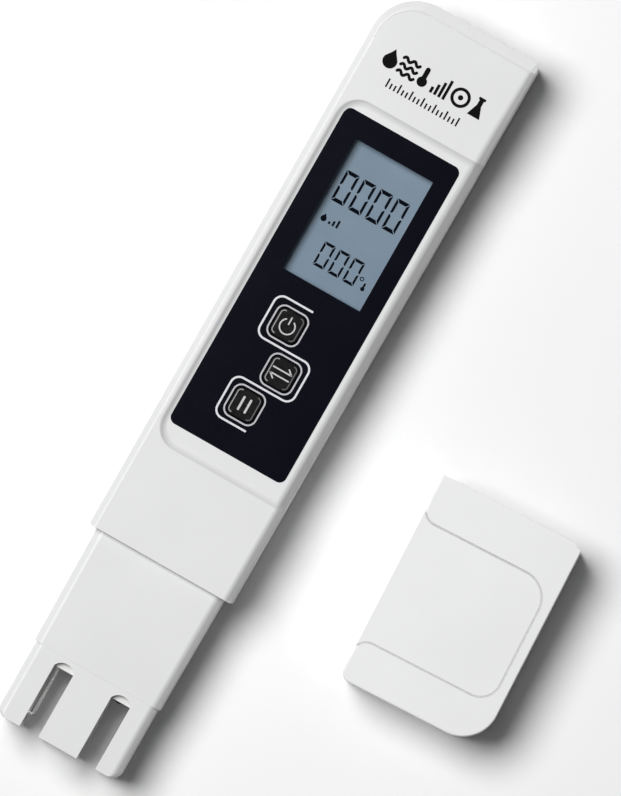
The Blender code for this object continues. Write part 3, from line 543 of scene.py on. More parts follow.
class Tree:
    """Short hand for building one node material."""

    def __init__(self, name):
        self.look = bpy.data.materials.new(name)
        self.look.use_nodes = True
        self.tree = self.look.node_tree
        self.shader = self.tree.nodes["Principled BSDF"]
        self.place = self.add("ShaderNodeTexCoord").outputs["Object"]

    def add(self, kind, links=None, **settings):
        node = self.tree.nodes.new(kind)
        for key, value in settings.items():
            setattr(node, key, value)
        for socket, value in (links or {}).items():
            if isinstance(value, bpy.types.NodeSocket):
                self.tree.links.new(value, node.inputs[socket])
            else:
                node.inputs[socket].default_value = value
        return node

    def set(self, **values):
        for key, value in values.items():
            socket = self.shader.inputs[key.replace("_", " ")]
            if isinstance(value, bpy.types.NodeSocket):
                self.tree.links.new(value, socket)
            else:
                socket.default_value = value

    def noise(self, scale, detail=3.0, stretch=(1.0, 1.0, 1.0)):
        place = self.add("ShaderNodeMapping", {"Vector": self.place, "Scale": stretch})
        node = self.add("ShaderNodeTexNoise", {
            "Vector": place.outputs["Vector"], "Scale": scale, "Detail": detail})
        return node.outputs["Fac"]

    def spread(self, value, low, high, start=0.3, stop=0.7):
        node = self.add("ShaderNodeMapRange", {
            "Value": value, "From Min": start, "From Max": stop, "To Min": low, "To Max": high})
        return node.outputs["Result"]

    def shade(self, value, dark, light, start=0.3, stop=0.7):
        ramp = self.add("ShaderNodeValToRGB", {"Fac": value})
        first, last = ramp.color_ramp.elements
        first.position = start
        first.color = (*dark, 1.0)
        last.position = stop
        last.color = (*light, 1.0)
        return ramp.outputs["Color"]

    def maths(self, operation, *values):
        return self.add("ShaderNodeMath", dict(enumerate(values)), operation=operation).outputs[0]

    def relief(self, height, strength, depth):
        return self.add("ShaderNodeBump", {
            "Height": height, "Strength": strength, "Distance": depth * MM}).outputs["Normal"]


def toned(colour, share):
    return tuple(min(channel * share, 1.0) for channel in colour)


def moulded(name, colour, roughness, spread=0.02, patch=55.0, relief=0.05):
    """Moulded plastic: faint cloudy colour, fine satin grain."""
    made = Tree(name)
    clouds = made.noise(patch, 4.0)
    fine = made.noise(1900.0, 3.0)
    made.set(Base_Color=made.shade(clouds, toned(colour, 1 - spread), toned(colour, 1 + spread)),
             Roughness=made.spread(fine, roughness - 0.05, roughness + 0.06),
             Normal=made.relief(fine, relief, 0.03))
    return made.look


def metal(name, colour, roughness, stretch=(1.0, 0.04, 1.0), grain=2600.0):
    """Drawn or brushed metal with fine lines along one direction."""
    made = Tree(name)
    lines = made.noise(grain, 4.0, stretch)
    clouds = made.noise(240.0, 3.0)
    made.set(Base_Color=made.shade(clouds, toned(colour, 0.88), toned(colour, 1.04)),
             Roughness=made.spread(lines, roughness - 0.08, roughness + 0.12),
             Normal=made.relief(lines, 0.12, 0.01), Metallic=1.0)
    return made.look


def rubber(name, colour, roughness=0.65):
    made = Tree(name)
    fine = made.noise(2400.0, 5.0)
    made.set(Base_Color=made.shade(fine, toned(colour, 0.8), toned(colour, 1.3)),
             Roughness=made.spread(fine, roughness - 0.1, roughness + 0.1),
             Normal=made.relief(fine, 0.25, 0.03))
    return made.look


def panel_film(name):
    """Black printed film under a thin clear varnish."""
    made = Tree(name)
    clouds = made.noise(90.0, 3.0)
    fine = made.noise(3200.0, 2.0)
    made.set(Base_Color=made.shade(clouds, (0.0030, 0.0030, 0.0070), (0.0042, 0.0042, 0.0098)),
             Roughness=made.spread(fine, 0.10, 0.15),
             Normal=made.relief(fine, 0.03, 0.01), Specular_IOR_Level=0.12)
    return made.look


def key_skin(name):
    """Dark rubbery key top with a fine spark texture."""
    made = Tree(name)
    coarse = made.noise(1500.0, 4.0)
    fine = made.noise(4200.0, 2.0)
    made.set(Base_Color=made.shade(coarse, (0.0050, 0.0050, 0.0056), (0.0140, 0.0140, 0.0150)),
             Roughness=made.spread(fine, 0.50, 0.66),
             Normal=made.relief(coarse, 0.35, 0.03), Specular_IOR_Level=0.05)
    return made.look


def ink(name, colour, specular=0.15):
    made = Tree(name)
    fine = made.noise(2600.0, 3.0)
    made.set(Base_Color=made.shade(fine, toned(colour, 0.90), toned(colour, 1.08)),
             Roughness=made.spread(fine, 0.42, 0.56),
             Normal=made.relief(fine, 0.10, 0.01), Specular_IOR_Level=specular)
    return made.look


def lcd_surface(name):
    """Blue-grey reflective display: faint cell grid and slow tone drift."""
    made = Tree(name)
    drift = made.noise(45.0, 2.0)
    colour = made.shade(drift, (0.222, 0.292, 0.366), (0.238, 0.308, 0.380))
    split = made.add("ShaderNodeSeparateXYZ", {"Vector": made.place})
    per_metre = 2.0 * math.pi / (LCD_CELL * MM)
    waves = [made.maths("SINE", made.maths("MULTIPLY", split.outputs[axis], per_metre))
             for axis in ("X", "Y")]
    faint = made.spread(made.maths("ADD", *waves), 0.985, 1.0, -2.0, 2.0)
    mixed = made.add("ShaderNodeVectorMath", {0: colour, "Scale": faint}, operation="SCALE")
    made.set(Base_Color=mixed.outputs["Vector"],
             Roughness=made.spread(drift, 0.32, 0.42), Specular_IOR_Level=0.15)
    return made.look


def clear_plate(name):
    """Clear window: lets light straight through, with a faint reflection."""
    made = Tree(name)
    tree = made.tree
    smudge = made.noise(160.0, 4.0)
    tint = made.shade(smudge, (0.955, 0.965, 0.972), (0.975, 0.982, 0.988))
    clear = made.add("ShaderNodeBsdfTransparent", {"Color": tint})
    shine = made.add("ShaderNodeBsdfGlossy", {"Roughness": made.spread(smudge, 0.03, 0.07)})
    facing = made.add("ShaderNodeLayerWeight", {"Blend": 0.5})
    share = made.spread(made.maths("POWER", facing.outputs["Facing"], 5.0), 0.023, 0.9, 0.0, 1.0)
    mix = made.add("ShaderNodeMixShader", {
        0: share, 1: clear.outputs["BSDF"], 2: shine.outputs["BSDF"]})
    tree.nodes.remove(made.shader)
    tree.links.new(mix.outputs["Shader"], tree.nodes["Material Output"].inputs["Surface"])
    return made.look


def board_surface(name):
    """Green solder resist over copper tracks."""
    made = Tree(name)
    turned = made.add("ShaderNodeMapping", {"Vector": made.place, "Scale": (900.0, 900.0, 900.0)})
    tracks = made.add("ShaderNodeTexBrick", {
        "Vector": turned.outputs["Vector"], "Scale": 1.0, "Mortar Size": 0.12,
        "Mortar Smooth": 0.2, "Brick Width": 3.4, "Row Height": 1.1,
        "Color1": (0.018, 0.105, 0.042, 1.0), "Color2": (0.022, 0.125, 0.050, 1.0),
        "Mortar": (0.050, 0.235, 0.085, 1.0)})
    fine = made.noise(1400.0, 3.0)
    made.set(Base_Color=tracks.outputs["Color"], Roughness=made.spread(fine, 0.32, 0.44),
             Normal=made.relief(tracks.outputs["Fac"], 0.4, 0.03))
    return made.look


def floor_surface(name):
    made = Tree(name)
    clouds = made.noise(9.0, 3.0)
    fine = made.noise(700.0, 2.0)
    made.set(Base_Color=made.shade(clouds, (0.955, 0.955, 0.957), (0.975, 0.975, 0.975)),
             Roughness=made.spread(fine, 0.75, 0.9), Specular_IOR_Level=0.1)
    return made.look


WHITE = (0.725, 0.727, 0.730)
LOOKS = {
    "white_case": moulded("white_case", WHITE, 0.42),
    "white_inner": moulded("white_inner", (0.70, 0.70, 0.69), 0.5, patch=80.0, relief=0.08),
    "panel_film": panel_film("panel_film"),
    "clear_window": clear_plate("clear_window"),
    "lcd_grey": lcd_surface("lcd_grey"),
    "reflector_foil": metal("reflector_foil", (0.60, 0.61, 0.62), 0.32),
    "dark_rubber": rubber("dark_rubber", (0.020, 0.020, 0.020)),
    "key_grey": key_skin("key_grey"),
    "switch_black": moulded("switch_black", (0.030, 0.030, 0.032), 0.5, spread=0.15, relief=0.1),
    "plunger_white": moulded("plunger_white", (0.60, 0.60, 0.58), 0.45, spread=0.05),
    "board_green": board_surface("board_green"),
    "tinned_metal": metal("tinned_metal", (0.66, 0.66, 0.64), 0.25),
    "capacitor_blue": moulded("capacitor_blue", (0.020, 0.025, 0.060), 0.35, spread=0.12),
    "trimmer_blue": moulded("trimmer_blue", (0.020, 0.090, 0.330), 0.4, spread=0.08),
    "rotor_brass": metal("rotor_brass", (0.62, 0.47, 0.20), 0.33, (0.04, 1.0, 1.0)),
    "cell_steel": metal("cell_steel", (0.68, 0.68, 0.67), 0.22, (1.0, 1.0, 1.0), 900.0),
    "contact_spring": metal("contact_spring", (0.72, 0.70, 0.62), 0.28),
    "electrode_steel": metal("electrode_steel", (0.93, 0.92, 0.91), 0.22, (1.0, 0.03, 1.0)),
    "sensor_black": rubber("sensor_black", (0.018, 0.018, 0.020), 0.45),
    "screw_steel": metal("screw_steel", (0.58, 0.58, 0.57), 0.33, (1.0, 1.0, 1.0), 1500.0),
    "wire_red": rubber("wire_red", (0.40, 0.02, 0.02), 0.45),
    "wire_black": rubber("wire_black", (0.016, 0.016, 0.018), 0.45),
    "wire_yellow": rubber("wire_yellow", (0.55, 0.35, 0.03), 0.45),
}
WHITE_CAP = moulded("white_cap", toned(WHITE, 1.16), 0.42)
WHITE_INK = ink("white_ink", (0.74, 0.74, 0.78))
RING_INK = ink("ring_ink", (0.52, 0.52, 0.55))
SOFT_INK = ink("soft_ink", (0.58, 0.58, 0.59))
# Grey painted shade laid in the cap's groove.
GROOVE_PAINTED_SHADE = ink("painted_groove_shade", (0.60, 0.60, 0.605), 0.1)
# Painted highlights for the key tops' edges: a lighter one for the lit left side, a dimmer one for
# the shaded right side.
LIT_SIDE_PAINTED_HIGHLIGHT = ink("painted_highlight_lit", (0.34, 0.34, 0.35))
SHADED_SIDE_PAINTED_HIGHLIGHT = ink("painted_highlight_shaded", (0.12, 0.12, 0.125))
BLACK_INK = ink("black_ink", (0.0050, 0.0050, 0.0055), 0.02)
LCD_INK = ink("lcd_ink", (0.0016, 0.0034, 0.0070), 0.0)

NODE_SLOTS = {
    "white_inner": ("lcd_holder",),
    "lcd_grey": ("lcd_rear_glass",),
    "reflector_foil": ("lcd_reflector",),
    "dark_rubber": ("connector_strip", "sleeve_seal"),
    "switch_black": ("power_switch", "shift_switch", "hold_switch", "controller_chip"),
    "plunger_white": ("power_plunger", "shift_plunger", "hold_plunger"),
    "board_green": ("circuit_board",),
    "tinned_metal": ("crystal_can",),
    "capacitor_blue": ("filter_capacitor",),
    "trimmer_blue": ("calibration_trimmer",),
    "rotor_brass": ("calibration_screw",),
    "cell_steel": ("battery_cell_1", "battery_cell_2"),
    "contact_spring": ("battery_contact_near", "battery_contact_far", "battery_bridge"),
    "screw_steel": tuple(kind % number for kind in ("case_screw_%d", "board_screw_%d")
                         for number in (1, 2, 3, 4)),
    "wire_red": ("electrode_wire_left",),
    "wire_black": ("electrode_wire_right",),
    "wire_yellow": ("sensor_wire",),
}


def dress_nodes():
    """Carry over the CAD nodes that stay, with their procedural finish and fine bevels."""
    for slot, names in NODE_SLOTS.items():
        for name in names:
            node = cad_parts[name]
            node.data.materials.clear()
            node.data.materials.append(LOOKS[slot])
            if "wire" not in name:
                bevel_edges(node, 0.08)


# Case

def case_ring(inset):
    return rounded(shrink(CASE_SPAN, inset), shrink_radii(CASE_CORNERS, inset))


def neck_opening():
    low, high = NECK_HEIGHTS
    return duct(NECK_HALF + GAP, (low - GAP, high + GAP), -2.0, SEAL_START)


def sleeve_socket():
    """Shallow seat for the end of the probe sleeve in the case's lower end wall."""
    left, right, _, _ = span_of("probe_sleeve")
    low, high = heights_of("probe_sleeve")
    seat = shrink((left, right, low, high), -0.02)
    return bar(rounded(seat, [0.9] * 4, 6), -1.0, SOCKET_DEPTH)


def wall_offset(height, fillet, rise, steepest, floor=FIELD_HEIGHT):
    """How far the field's wall stands out from its top edge at a height; negative is inwards."""
    turn = math.radians(steepest)
    if height >= FACE_HEIGHT:
        return 0.0
    if FACE_HEIGHT - height <= rise * (1 - math.cos(turn)):
        return -rise * math.sin(math.acos(1 - (FACE_HEIGHT - height) / rise))
    share = min(max(1 - (height - floor) / fillet, -1.0), 1.0)
    return fillet * math.sin(math.acos(share)) - (fillet + rise) * math.sin(turn)


def field_cutter():
    """Soft-walled field whose floor rolls over the right-hand edge of the case."""
    right = CASE_SPAN[1]
    roll = [(right - inset, drop) for drop, inset in reversed(rolled_edge(*FIELD_EDGE))]
    columns = [(0.0, 0.0)] + roll + [(right + 0.4, roll[-1][1] + 0.5), (right + 2.0, 2.5)]
    fillet, rise, steepest = FIELD_WALL
    turns = [math.radians(steepest) * step / EDGE_STEPS for step in range(EDGE_STEPS + 1)]
    heights = [FIELD_HEIGHT + fillet * (1 - math.cos(turn)) for turn in turns]
    heights += [FACE_HEIGHT - rise * (1 - math.cos(turn)) for turn in reversed(turns)]
    rings = []
    for height in heights + [FACE_HEIGHT + 2.0]:
        offset = wall_offset(height, *FIELD_WALL)
        climb = min((height - FIELD_HEIGHT) / (FACE_HEIGHT - FIELD_HEIGHT), 1.0)
        lift = (1.0 - climb) * (FIELD_LEFT_HEIGHT - FIELD_HEIGHT)
        left_offset = wall_offset(height + lift, *FIELD_LEFT_WALL, FIELD_LEFT_HEIGHT)
        bottom, top = FIELD_ENDS
        radius = FIELD_RADIUS + offset
        lower = []
        for x, y in arc(FIELD_LEFT - offset + radius, bottom - offset + radius, radius,
                        180.0, 270.0, CORNER_STEPS):
            reach = ((FIELD_LEFT - offset + radius - x) / radius) ** 2
            lower.append((x + (offset - left_offset) * reach, y, height + lift * reach))
        lower += [(x, bottom - offset, height - drop) for x, drop in columns]
        upper = [(x, bottom + top - y, z) for x, y, z in reversed(lower)]
        rings.append(lower + upper)
    return loft(rings, strips=True)


def key_hole(name, low, high):
    size = KEY_SIZE + 2 * KEY_HOLE_GAP
    return prism(rounded(square(middle_of(name + "_key"), size),
                         [KEY_RADIUS + KEY_HOLE_GAP] * 4, 8), low, high)


def window_opening(low, high):
    return block(shrink(span_of("display_window"), -GAP), low, high)


def front_shell():
    shape = slab(CASE_SPAN, CASE_CORNERS, SEAM[1], FACE_HEIGHT,
                 high_edge=rolled_edge(*CASE_EDGE), high_share=CASE_EDGE_SHARE,
                 high_fall=CASE_EDGE_FALL)
    shape = cut(shape, prism(case_ring(CASE_WALL), SEAM[1] - 1.0, FRONT_INNER_HEIGHT))
    shape = join(shape, merge(*rods(CASE_SCREW_CENTRES, 2.0, SEAM[1], FRONT_INNER_HEIGHT + 0.5),
                              *rods(BOARD_SCREW_CENTRES, 1.9, 7.7, FRONT_INNER_HEIGHT + 0.5)))
    bores = (rods(CASE_SCREW_CENTRES, 1.25, SEAM[1] - 1.0, 10.5, 24)
             + rods(BOARD_SCREW_CENTRES, 1.0, SEAM[1] - 1.0, 10.7, 24))
    keys = [key_hole(name, FRONT_INNER_HEIGHT - 1.0, FACE_HEIGHT) for name in KEY_NAMES]
    line, radius, half = TOP_LINE
    path = filleted([(CASE_SPAN[1] + 1.0, line), (CASE_SPAN[0] + 1.45, line),
                     (CASE_SPAN[0] + 1.45, line - radius - 1.5)], radius, 16)
    shape = cut(shape, field_cutter(), tube([(x, y, FACE_HEIGHT + 0.02) for x, y in path], half),
                merge(*bores),
                merge(window_opening(FRONT_INNER_HEIGHT - 1.0, FACE_HEIGHT), *keys),
                neck_opening(), sleeve_socket())
    add_piece("front_shell_skin", lean(shape), "white_case", "front_shell")


def rear_shell():
    foot, seam, top = LIP_HEIGHTS
    shape = slab(CASE_SPAN, CASE_CORNERS, 0.0, SEAM[0], low_edge=soft_edge(*BACK_EDGE))
    shape = cut(shape, prism(case_ring(CASE_WALL), CASE_WALL, SEAM[0] + 1.0))
    lip = join(prism(case_ring(CASE_WALL - 0.3), foot, seam),
               prism(case_ring(LIP_INSETS[0]), seam - 0.5, top))
    lip = cut(lip, prism(case_ring(LIP_INSETS[1]), foot - 1.0, top + 1.0),
              block((-15.0, 15.0, -1.0, FLANGE_ENDS[1] + 0.5), foot - 1.0, top + 1.0))
    half_wall = CASE_WALL / 2
    skirt = block((-SKIRT_HALF, SKIRT_HALF, COMPARTMENT[2] - 2.0, CASE_SPAN[3] - half_wall),
                  half_wall, SKIRT_HEIGHT)
    bosses = rods(CASE_SCREW_CENTRES, 2.7, half_wall, SEAM[0])
    shape = join(shape, lip, skirt, block(COMPARTMENT, half_wall, COMPARTMENT_HEIGHT),
                 merge(*bosses))
    start = DOOR_START - GAP
    stop = CASE_SPAN[3] + 1.0
    lip_top = DOOR_FLANGE_BOTTOM - GAP
    mouth_half = DOOR_HALF + 0.15
    tunnel_half = DOOR_FLANGE_HALF + GAP
    shape = cut(
        shape,
        block(CELL_SPACE, half_wall, CELL_SPACE_HEIGHT),
        block((-mouth_half, mouth_half, start + 0.15, stop), -1.0, lip_top + 0.2),
        block((-tunnel_half, tunnel_half, start, stop), lip_top, DOOR_CHANNEL_HEIGHT),
        block((CELL_SPACE[0] + 0.1, CELL_SPACE[1] - 0.1, start - 1.0, CELL_SPACE[2] + 1.0),
              7.6, CELL_SPACE_HEIGHT - 0.05),
        neck_opening(),
        sleeve_socket(),
        merge(prism(circle(*TRIMMER_CENTRE, 1.5), -1.0, CASE_WALL + 1.0),
              *rods(CASE_SCREW_CENTRES, 2.1, -1.0, 1.8)),
        merge(*rods(CASE_SCREW_CENTRES, 1.25, 0.5, SEAM[0] + 1.0, 24)))
    add_piece("rear_shell_skin", lean(shape), "white_case", "rear_shell")


def battery_door():
    stop = CASE_SPAN[3]
    profile = [(DOOR_START, 0.0)]
    profile += [(stop - inset, drop) for drop, inset in reversed(soft_edge(*BACK_EDGE))]
    profile += [(stop, DOOR_THICKNESS), (DOOR_START, DOOR_THICKNESS)]
    shape = loft([[(x, y, z) for y, z in profile] for x in (-DOOR_HALF, DOOR_HALF)])
    shape = join(shape, block((-DOOR_FLANGE_HALF, DOOR_FLANGE_HALF, DOOR_START + 0.2,
                               DOOR_FLANGE_END), DOOR_FLANGE_BOTTOM, DOOR_THICKNESS - 0.02))
    grooves = [block((-3.5, 3.5, y - 0.35, y + 0.35), -1.0, 0.35) for y in GRIP_GROOVES]
    arrow = prism([(-1.6, 100.2), (1.6, 100.2), (0.0, 103.0)], -1.0, 0.25)
    shape = cut(shape, merge(*grooves, arrow))
    add_piece("battery_door_skin", shape, "white_case", "battery_door", body="door")


# Panel, window, display and print

def face_panel():
    left, right, bottom, top = span_of("face_panel")
    high = heights_of("face_panel")[1]
    outline = rounded((left + PANEL_TRIM, right, bottom, top), [PANEL_RADIUS] * 4)
    shape = prism(outline, FIELD_HEIGHT + 0.005, high)
    plate = span_of("display_window")
    window = tuple(edge + sign * margin for edge, sign, margin
                   in zip(plate, (1, -1, 1, -1), WINDOW_PLATE_MARGIN))
    shape = cut(shape, merge(block(window, 12.0, 15.0),
                             *[key_hole(name, 12.0, 15.0) for name in KEY_NAMES]))
    add_piece("face_panel_film", shape, "panel_film", "face_panel", edge=0.05)


def window_plate():
    shape = slab(span_of("display_window"), [0.4] * 4, *heights_of("display_window"))
    add_piece("display_window_plate", shape, "clear_window", "display_window", edge=0.05)


def zero(x, y, width, height, line, bar_line, gap):
    """The six lit segments of a seven-segment 0, as outlines; its level bars are thicker."""
    outlines = []
    middle = y + height / 2
    for upper in (1, -1):
        edge = middle + upper * height / 2
        outlines.append([(x + gap, edge), (x + width - gap, edge),
                         (x + width - gap - bar_line * 0.8, edge - upper * bar_line),
                         (x + gap + bar_line * 0.8, edge - upper * bar_line)])
        for side, inward in ((x, 1), (x + width, -1)):
            outlines.append([(side, edge - upper * gap),
                             (side + inward * line, edge - upper * (gap * 1.3 + line * 1.25)),
                             (side + inward * line, middle + upper * (gap + line * 0.9)),
                             (side + inward * line * 0.45, middle + upper * (gap * 1.2)),
                             (side, middle + upper * (gap + line * 0.3))])
    return outlines


def drop(x, y, height):
    """Filled water drop that stands on (x, y)."""
    radius = height * 0.36
    sides = arc(x, y + radius, radius, 155.0, 385.0, 20)
    return sides + [(x + radius * 0.35, y + height * 0.78), (x, y + height),
                    (x - radius * 0.35, y + height * 0.78)]


def wave(left, right, y, rise, length):
    steps = 30
    return [(left + (right - left) * step / steps,
             y + rise * math.sin(2 * math.pi * (right - left) * step / steps / length))
            for step in range(steps + 1)]


def thermometer(x, y, height):
    """Filled bulb and stem."""
    bulb = height * 0.25
    half = height * 0.12
    reach = math.degrees(math.asin(half / bulb))
    return (arc(x, y + bulb, bulb, 90.0 + reach, 450.0 - reach, 20)
            + arc(x, y + height - half, half, 0.0, 180.0, 8))


def display():
    low, high = heights_of("lcd_front_glass")
    shape = slab(span_of("lcd_front_glass"), [0.3] * 4, low, high)
    add_piece("lcd_screen", shape, "lcd_grey", "lcd_front_glass", edge=0.05)
    outlines = [drop(-5.4, 69.8, 1.6), thermometer(7.3, 62.1, 1.6)]
    for count, left, pitch, *digit in LCD_DIGITS:
        for index in range(count):
            outlines += zero(left + pitch * index, *digit)
    for index in range(3):
        left = -4.3 + 0.8 * index
        outlines.append(rectangle(left, left + 0.42, 69.9, 70.4 + 0.5 * index))
    lit = merge(plates(outlines, high - 0.1, high + INK),
                ribbon(circle(6.35, 64.1, 0.33, 20), 0.18, high - 0.1, high + INK, closed=True))
    add_piece("lcd_segments", lit, "lcd_grey", look=LCD_INK, edge=0)


def printed_lines():
    """White line that winds round the keys, and a ring round each key."""
    low = heights_of("face_panel")[1]
    high = low + INK
    add_piece("key_guide_line", ribbon(filleted(GUIDE_CORNERS, 1.7), 0.38, low - 0.1, high),
              "panel_film", look=WHITE_INK, edge=0)
    size, width, radius = KEY_RING
    for name in KEY_NAMES:
        path = rounded(square(middle_of(name + "_key"), size - width),
                       [radius - width / 2] * 4, 8)
        add_piece(name + "_key_ring", ribbon(path, width, low - 0.1, high, closed=True),
                  "panel_film", look=RING_INK, edge=0)


def face_print():
    """Generic pictograms over a fine tick scale, where a maker's print would be."""
    low = FACE_HEIGHT - 0.1
    high = FACE_HEIGHT + INK
    base = PRINT_BASE
    marks = [prism(drop(-9.0, base, PRINT_HEIGHT), low, high)]
    marks += [ribbon(wave(-7.0, -3.6, base + 0.55 + 1.35 * row, 0.33, 1.7), 0.58, low, high)
              for row in range(3)]
    marks.append(prism(thermometer(-2.0, base, PRINT_HEIGHT), low, high))
    marks += [prism(rectangle(0.88 * row, 0.56 + 0.88 * row, base, base + 1.2 + 0.9 * row),
                    low, high) for row in range(4)]
    marks.append(ribbon(arc(5.7, base + 1.93, 1.6, 0.0, 350.0, 36), 0.6, low, high))
    marks.append(prism(circle(5.7, base + 1.93, 0.5, 20), low, high))
    flask = ((8.1, 0.0), (10.7, 0.0), (9.85, 2.3), (9.85, 3.4), (10.1, 3.4),
             (10.1, PRINT_HEIGHT), (8.7, PRINT_HEIGHT), (8.7, 3.4), (8.95, 3.4), (8.95, 2.3))
    marks.append(prism([(x, base + y) for x, y in flask], low, high))
    count, left, pitch, foot, width = TICKS
    ticks = []
    for index in range(count):
        x = left + pitch * index
        top = foot + TICK_HEIGHTS[index % len(TICK_HEIGHTS)]
        ticks.append(prism(rectangle(x - width / 2, x + width / 2, foot, top), low, high))
    add_piece("face_pictograms", merge(*marks), "white_case", look=BLACK_INK, edge=0)
    add_piece("face_tick_scale", merge(*ticks), "white_case", look=BLACK_INK, edge=0)


# Keys

def key_symbol(name, low, high):
    if name == "power":
        return [ribbon(arc(0.0, -0.2, 1.45, 125.0, 415.0), 0.27, low, high),
                ribbon([(0.0, 0.3), (0.0, 0.9), (0.0, 1.65)], 0.27, low, high)]
    if name == "shift":
        return [ribbon(line, 0.27, low, high) for line in (
            [(-1.9, 0.6), (0.0, 0.6), (1.8, 0.6)], [(1.0, 1.4), (1.9, 0.6)],
            [(1.9, -0.6), (0.0, -0.6), (-1.8, -0.6)], [(-1.0, -1.4), (-1.9, -0.6)])]
    return [ribbon([(x, -1.25), (x, 0.0), (x, 1.25)], 0.42, low, high) for x in (-0.7, 0.7)]


def key(name):
    node = name + "_key"
    centre = middle_of(node)
    low, high = heights_of(node)
    nub_top = low + 0.3
    flange_top = nub_top + 0.7
    body = name + "_button"
    shape = slab(square(centre, KEY_SIZE), [KEY_RADIUS] * 4, nub_top, high,
                 high_edge=soft_edge(0.22, 0.22))
    shape = join(shape,
                 slab(square(centre, KEY_FLANGE_SIZE), [1.1] * 4, nub_top, flange_top),
                 prism(circle(centre.x, centre.y, KEY_NUB_RADIUS, 32), low, nub_top + 0.2))
    add_piece(node + "_cap", shape, "key_grey", node, body=body, edge=0.06)
    base = high - 0.1
    top = high + INK
    place = TESTER_PLACE @ Matrix.Translation((centre.x, centre.y, 0.0))
    add_piece(name + "_key_symbol", merge(*key_symbol(name, base, top)), "key_grey",
              body=body, look=SOFT_INK, place=place, edge=0)
    # Painted highlights: thin grey strips along the key top's left and right edges stand in for
    # reflections of the light, lighter on the lit left side and dimmer on the shaded right.
    for side, look in ((-1, LIT_SIDE_PAINTED_HIGHLIGHT), (1, SHADED_SIDE_PAINTED_HIGHLIGHT)):
        corners = [(1.6 * side, 2.3), (2.32 * side, 2.3), (2.32 * side, -2.3),
                   (1.6 * side, -2.3)]
        label = name + ("_key_painted_highlight_left" if side < 0 else "_key_painted_highlight_right")
        add_piece(label, ribbon(filleted(corners, 0.68, 6), 0.2, base, top), "key_grey",
                  body=body, look=look, place=place, edge=0)


# Probe

def probe_sleeve():
    low, high = heights_of("probe_sleeve")
    left, right, bottom, _ = span_of("probe_sleeve")
    span = (left, right, bottom, SOCKET_DEPTH - 0.02)
    share = (1.0, 1.0, 0.0, 0.0)
    edge = rolled_edge(*SLEEVE_EDGE)
    shape = slab(span, [0.3] * 4, low, high, edge, edge, share, share)
    for vertex in shape.verts:
        vertex.co.x *= 1.0 + vertex.co.y / -bottom * SLEEVE_DRAFT / right
    shape = join(shape,
                 duct(NECK_HALF, NECK_HEIGHTS, -1.0, FLANGE_ENDS[0] + 0.5),
                 duct(FLANGE_HALF, FLANGE_HEIGHTS, *FLANGE_ENDS))
    shape = cut(shape,
                duct(CAVITY_HALF, CAVITY_HEIGHTS, bottom - 1.0, -2.3),
                duct(9.8, (4.8, 9.2), -3.3, FLANGE_ENDS[1] + 1.0))
    add_piece("probe_sleeve_skin", shape, "white_case", "probe_sleeve", edge=0.03)


def slot_outline(centre, bottom, inset=0.0):
    half = SLOT_WIDTH / 2 - inset
    rise = SLOT_PEAK - SLOT_SHOULDER
    radius = (half * half + rise * rise) / (2 * rise)
    reach = math.degrees(math.asin(half / radius))
    crown = arc(centre, SLOT_PEAK - inset - radius, radius, 90.0 - reach, 90.0 + reach, 14)
    return [(centre - half, bottom), (centre + half, bottom)] + crown


def probe_guard():
    low, high = heights_of("probe_guard")
    left, right, bottom, _ = span_of("probe_guard")
    top = span_of("probe_sleeve")[2] - 0.01
    share = (1.0, 1.0, 0.04, 0.0)
    edge = rolled_edge(*GUARD_EDGE)
    shape = slab((left, right, bottom, top), GUARD_CORNERS, low, high, edge, edge, share, share)
    shape = cut(shape,
                duct(CAVITY_HALF, CAVITY_HEIGHTS, bottom - 1.0, top + 1.0),
                merge(*[prism(slot_outline(centre, bottom - 1.0), low - 1.0, high + 1.0)
                        for centre in SLOT_CENTRES]))
    add_piece("probe_guard_skin", shape, "white_case", "probe_guard", edge=0.03)


def electrodes():
    for side in ("left", "right"):
        node = "electrode_" + side
        centre = middle_of(node)
        _, _, tip, root = span_of(node)
        radius = (heights_of(node)[1] - heights_of(node)[0]) / 2
        rings = []
        for step in range(7):
            turn = math.radians(6.0 + 84.0 * step / 6)
            rings.append((tip + 0.5 * (1 - math.sin(turn)), radius * (1 - 0.6 * math.cos(turn))))
        rings = [(2 * tip + 0.5 - y, size) for y, size in rings] + [(root, radius)]
        shape = loft([[(x, y, z) for x, z in circle(centre.x, centre.z, size, 32)]
                      for y, size in sorted(rings)])
        add_piece(node + "_pin", shape, "electrode_steel", node, edge=0.05)
    node = "temperature_sensor"
    centre = middle_of(node)
    _, _, tip, root = span_of(node)
    profile = [(tip + 0.45 * (1 - math.sin(turn)), 0.9 * max(math.cos(turn), 0.2)) for turn in
               (math.radians(angle) for angle in (80, 60, 40, 20, 0))] + [(root, 0.9)]
    shape = loft([[(x, y, z) for x, z in circle(centre.x, centre.z, size, 28)]
                  for y, size in profile])
    add_piece("temperature_sensor_bead", shape, "sensor_black", node, edge=0.04)


def electrode_block():
    left, right, bottom, top = span_of("electrode_block")
    low, high = heights_of("electrode_block")
    shape = loft([[(x, y, z) for x, z in rounded((left, right, low, high), [0.5] * 4, 4)]
                  for y in (bottom, top)])
    holes = []
    for node, radius in (("electrode_left", 0.95), ("electrode_right", 0.95),
                         ("temperature_sensor", 1.0)):
        centre = middle_of(node)
        holes.append(bar(circle(centre.x, centre.z, radius, 28), bottom - 1.0, top + 1.0))
    ribs = [prism([(x, max(y, bottom + 0.02)) for x, y in slot_outline(centre, bottom, 0.03)],
                  high - 1.0, RIB_HEIGHT) for centre in SLOT_CENTRES]
    shape = cut(join(shape, merge(*ribs)), merge(*holes))
    add_piece("electrode_block_body", shape, "white_inner", "electrode_block")


# Cap

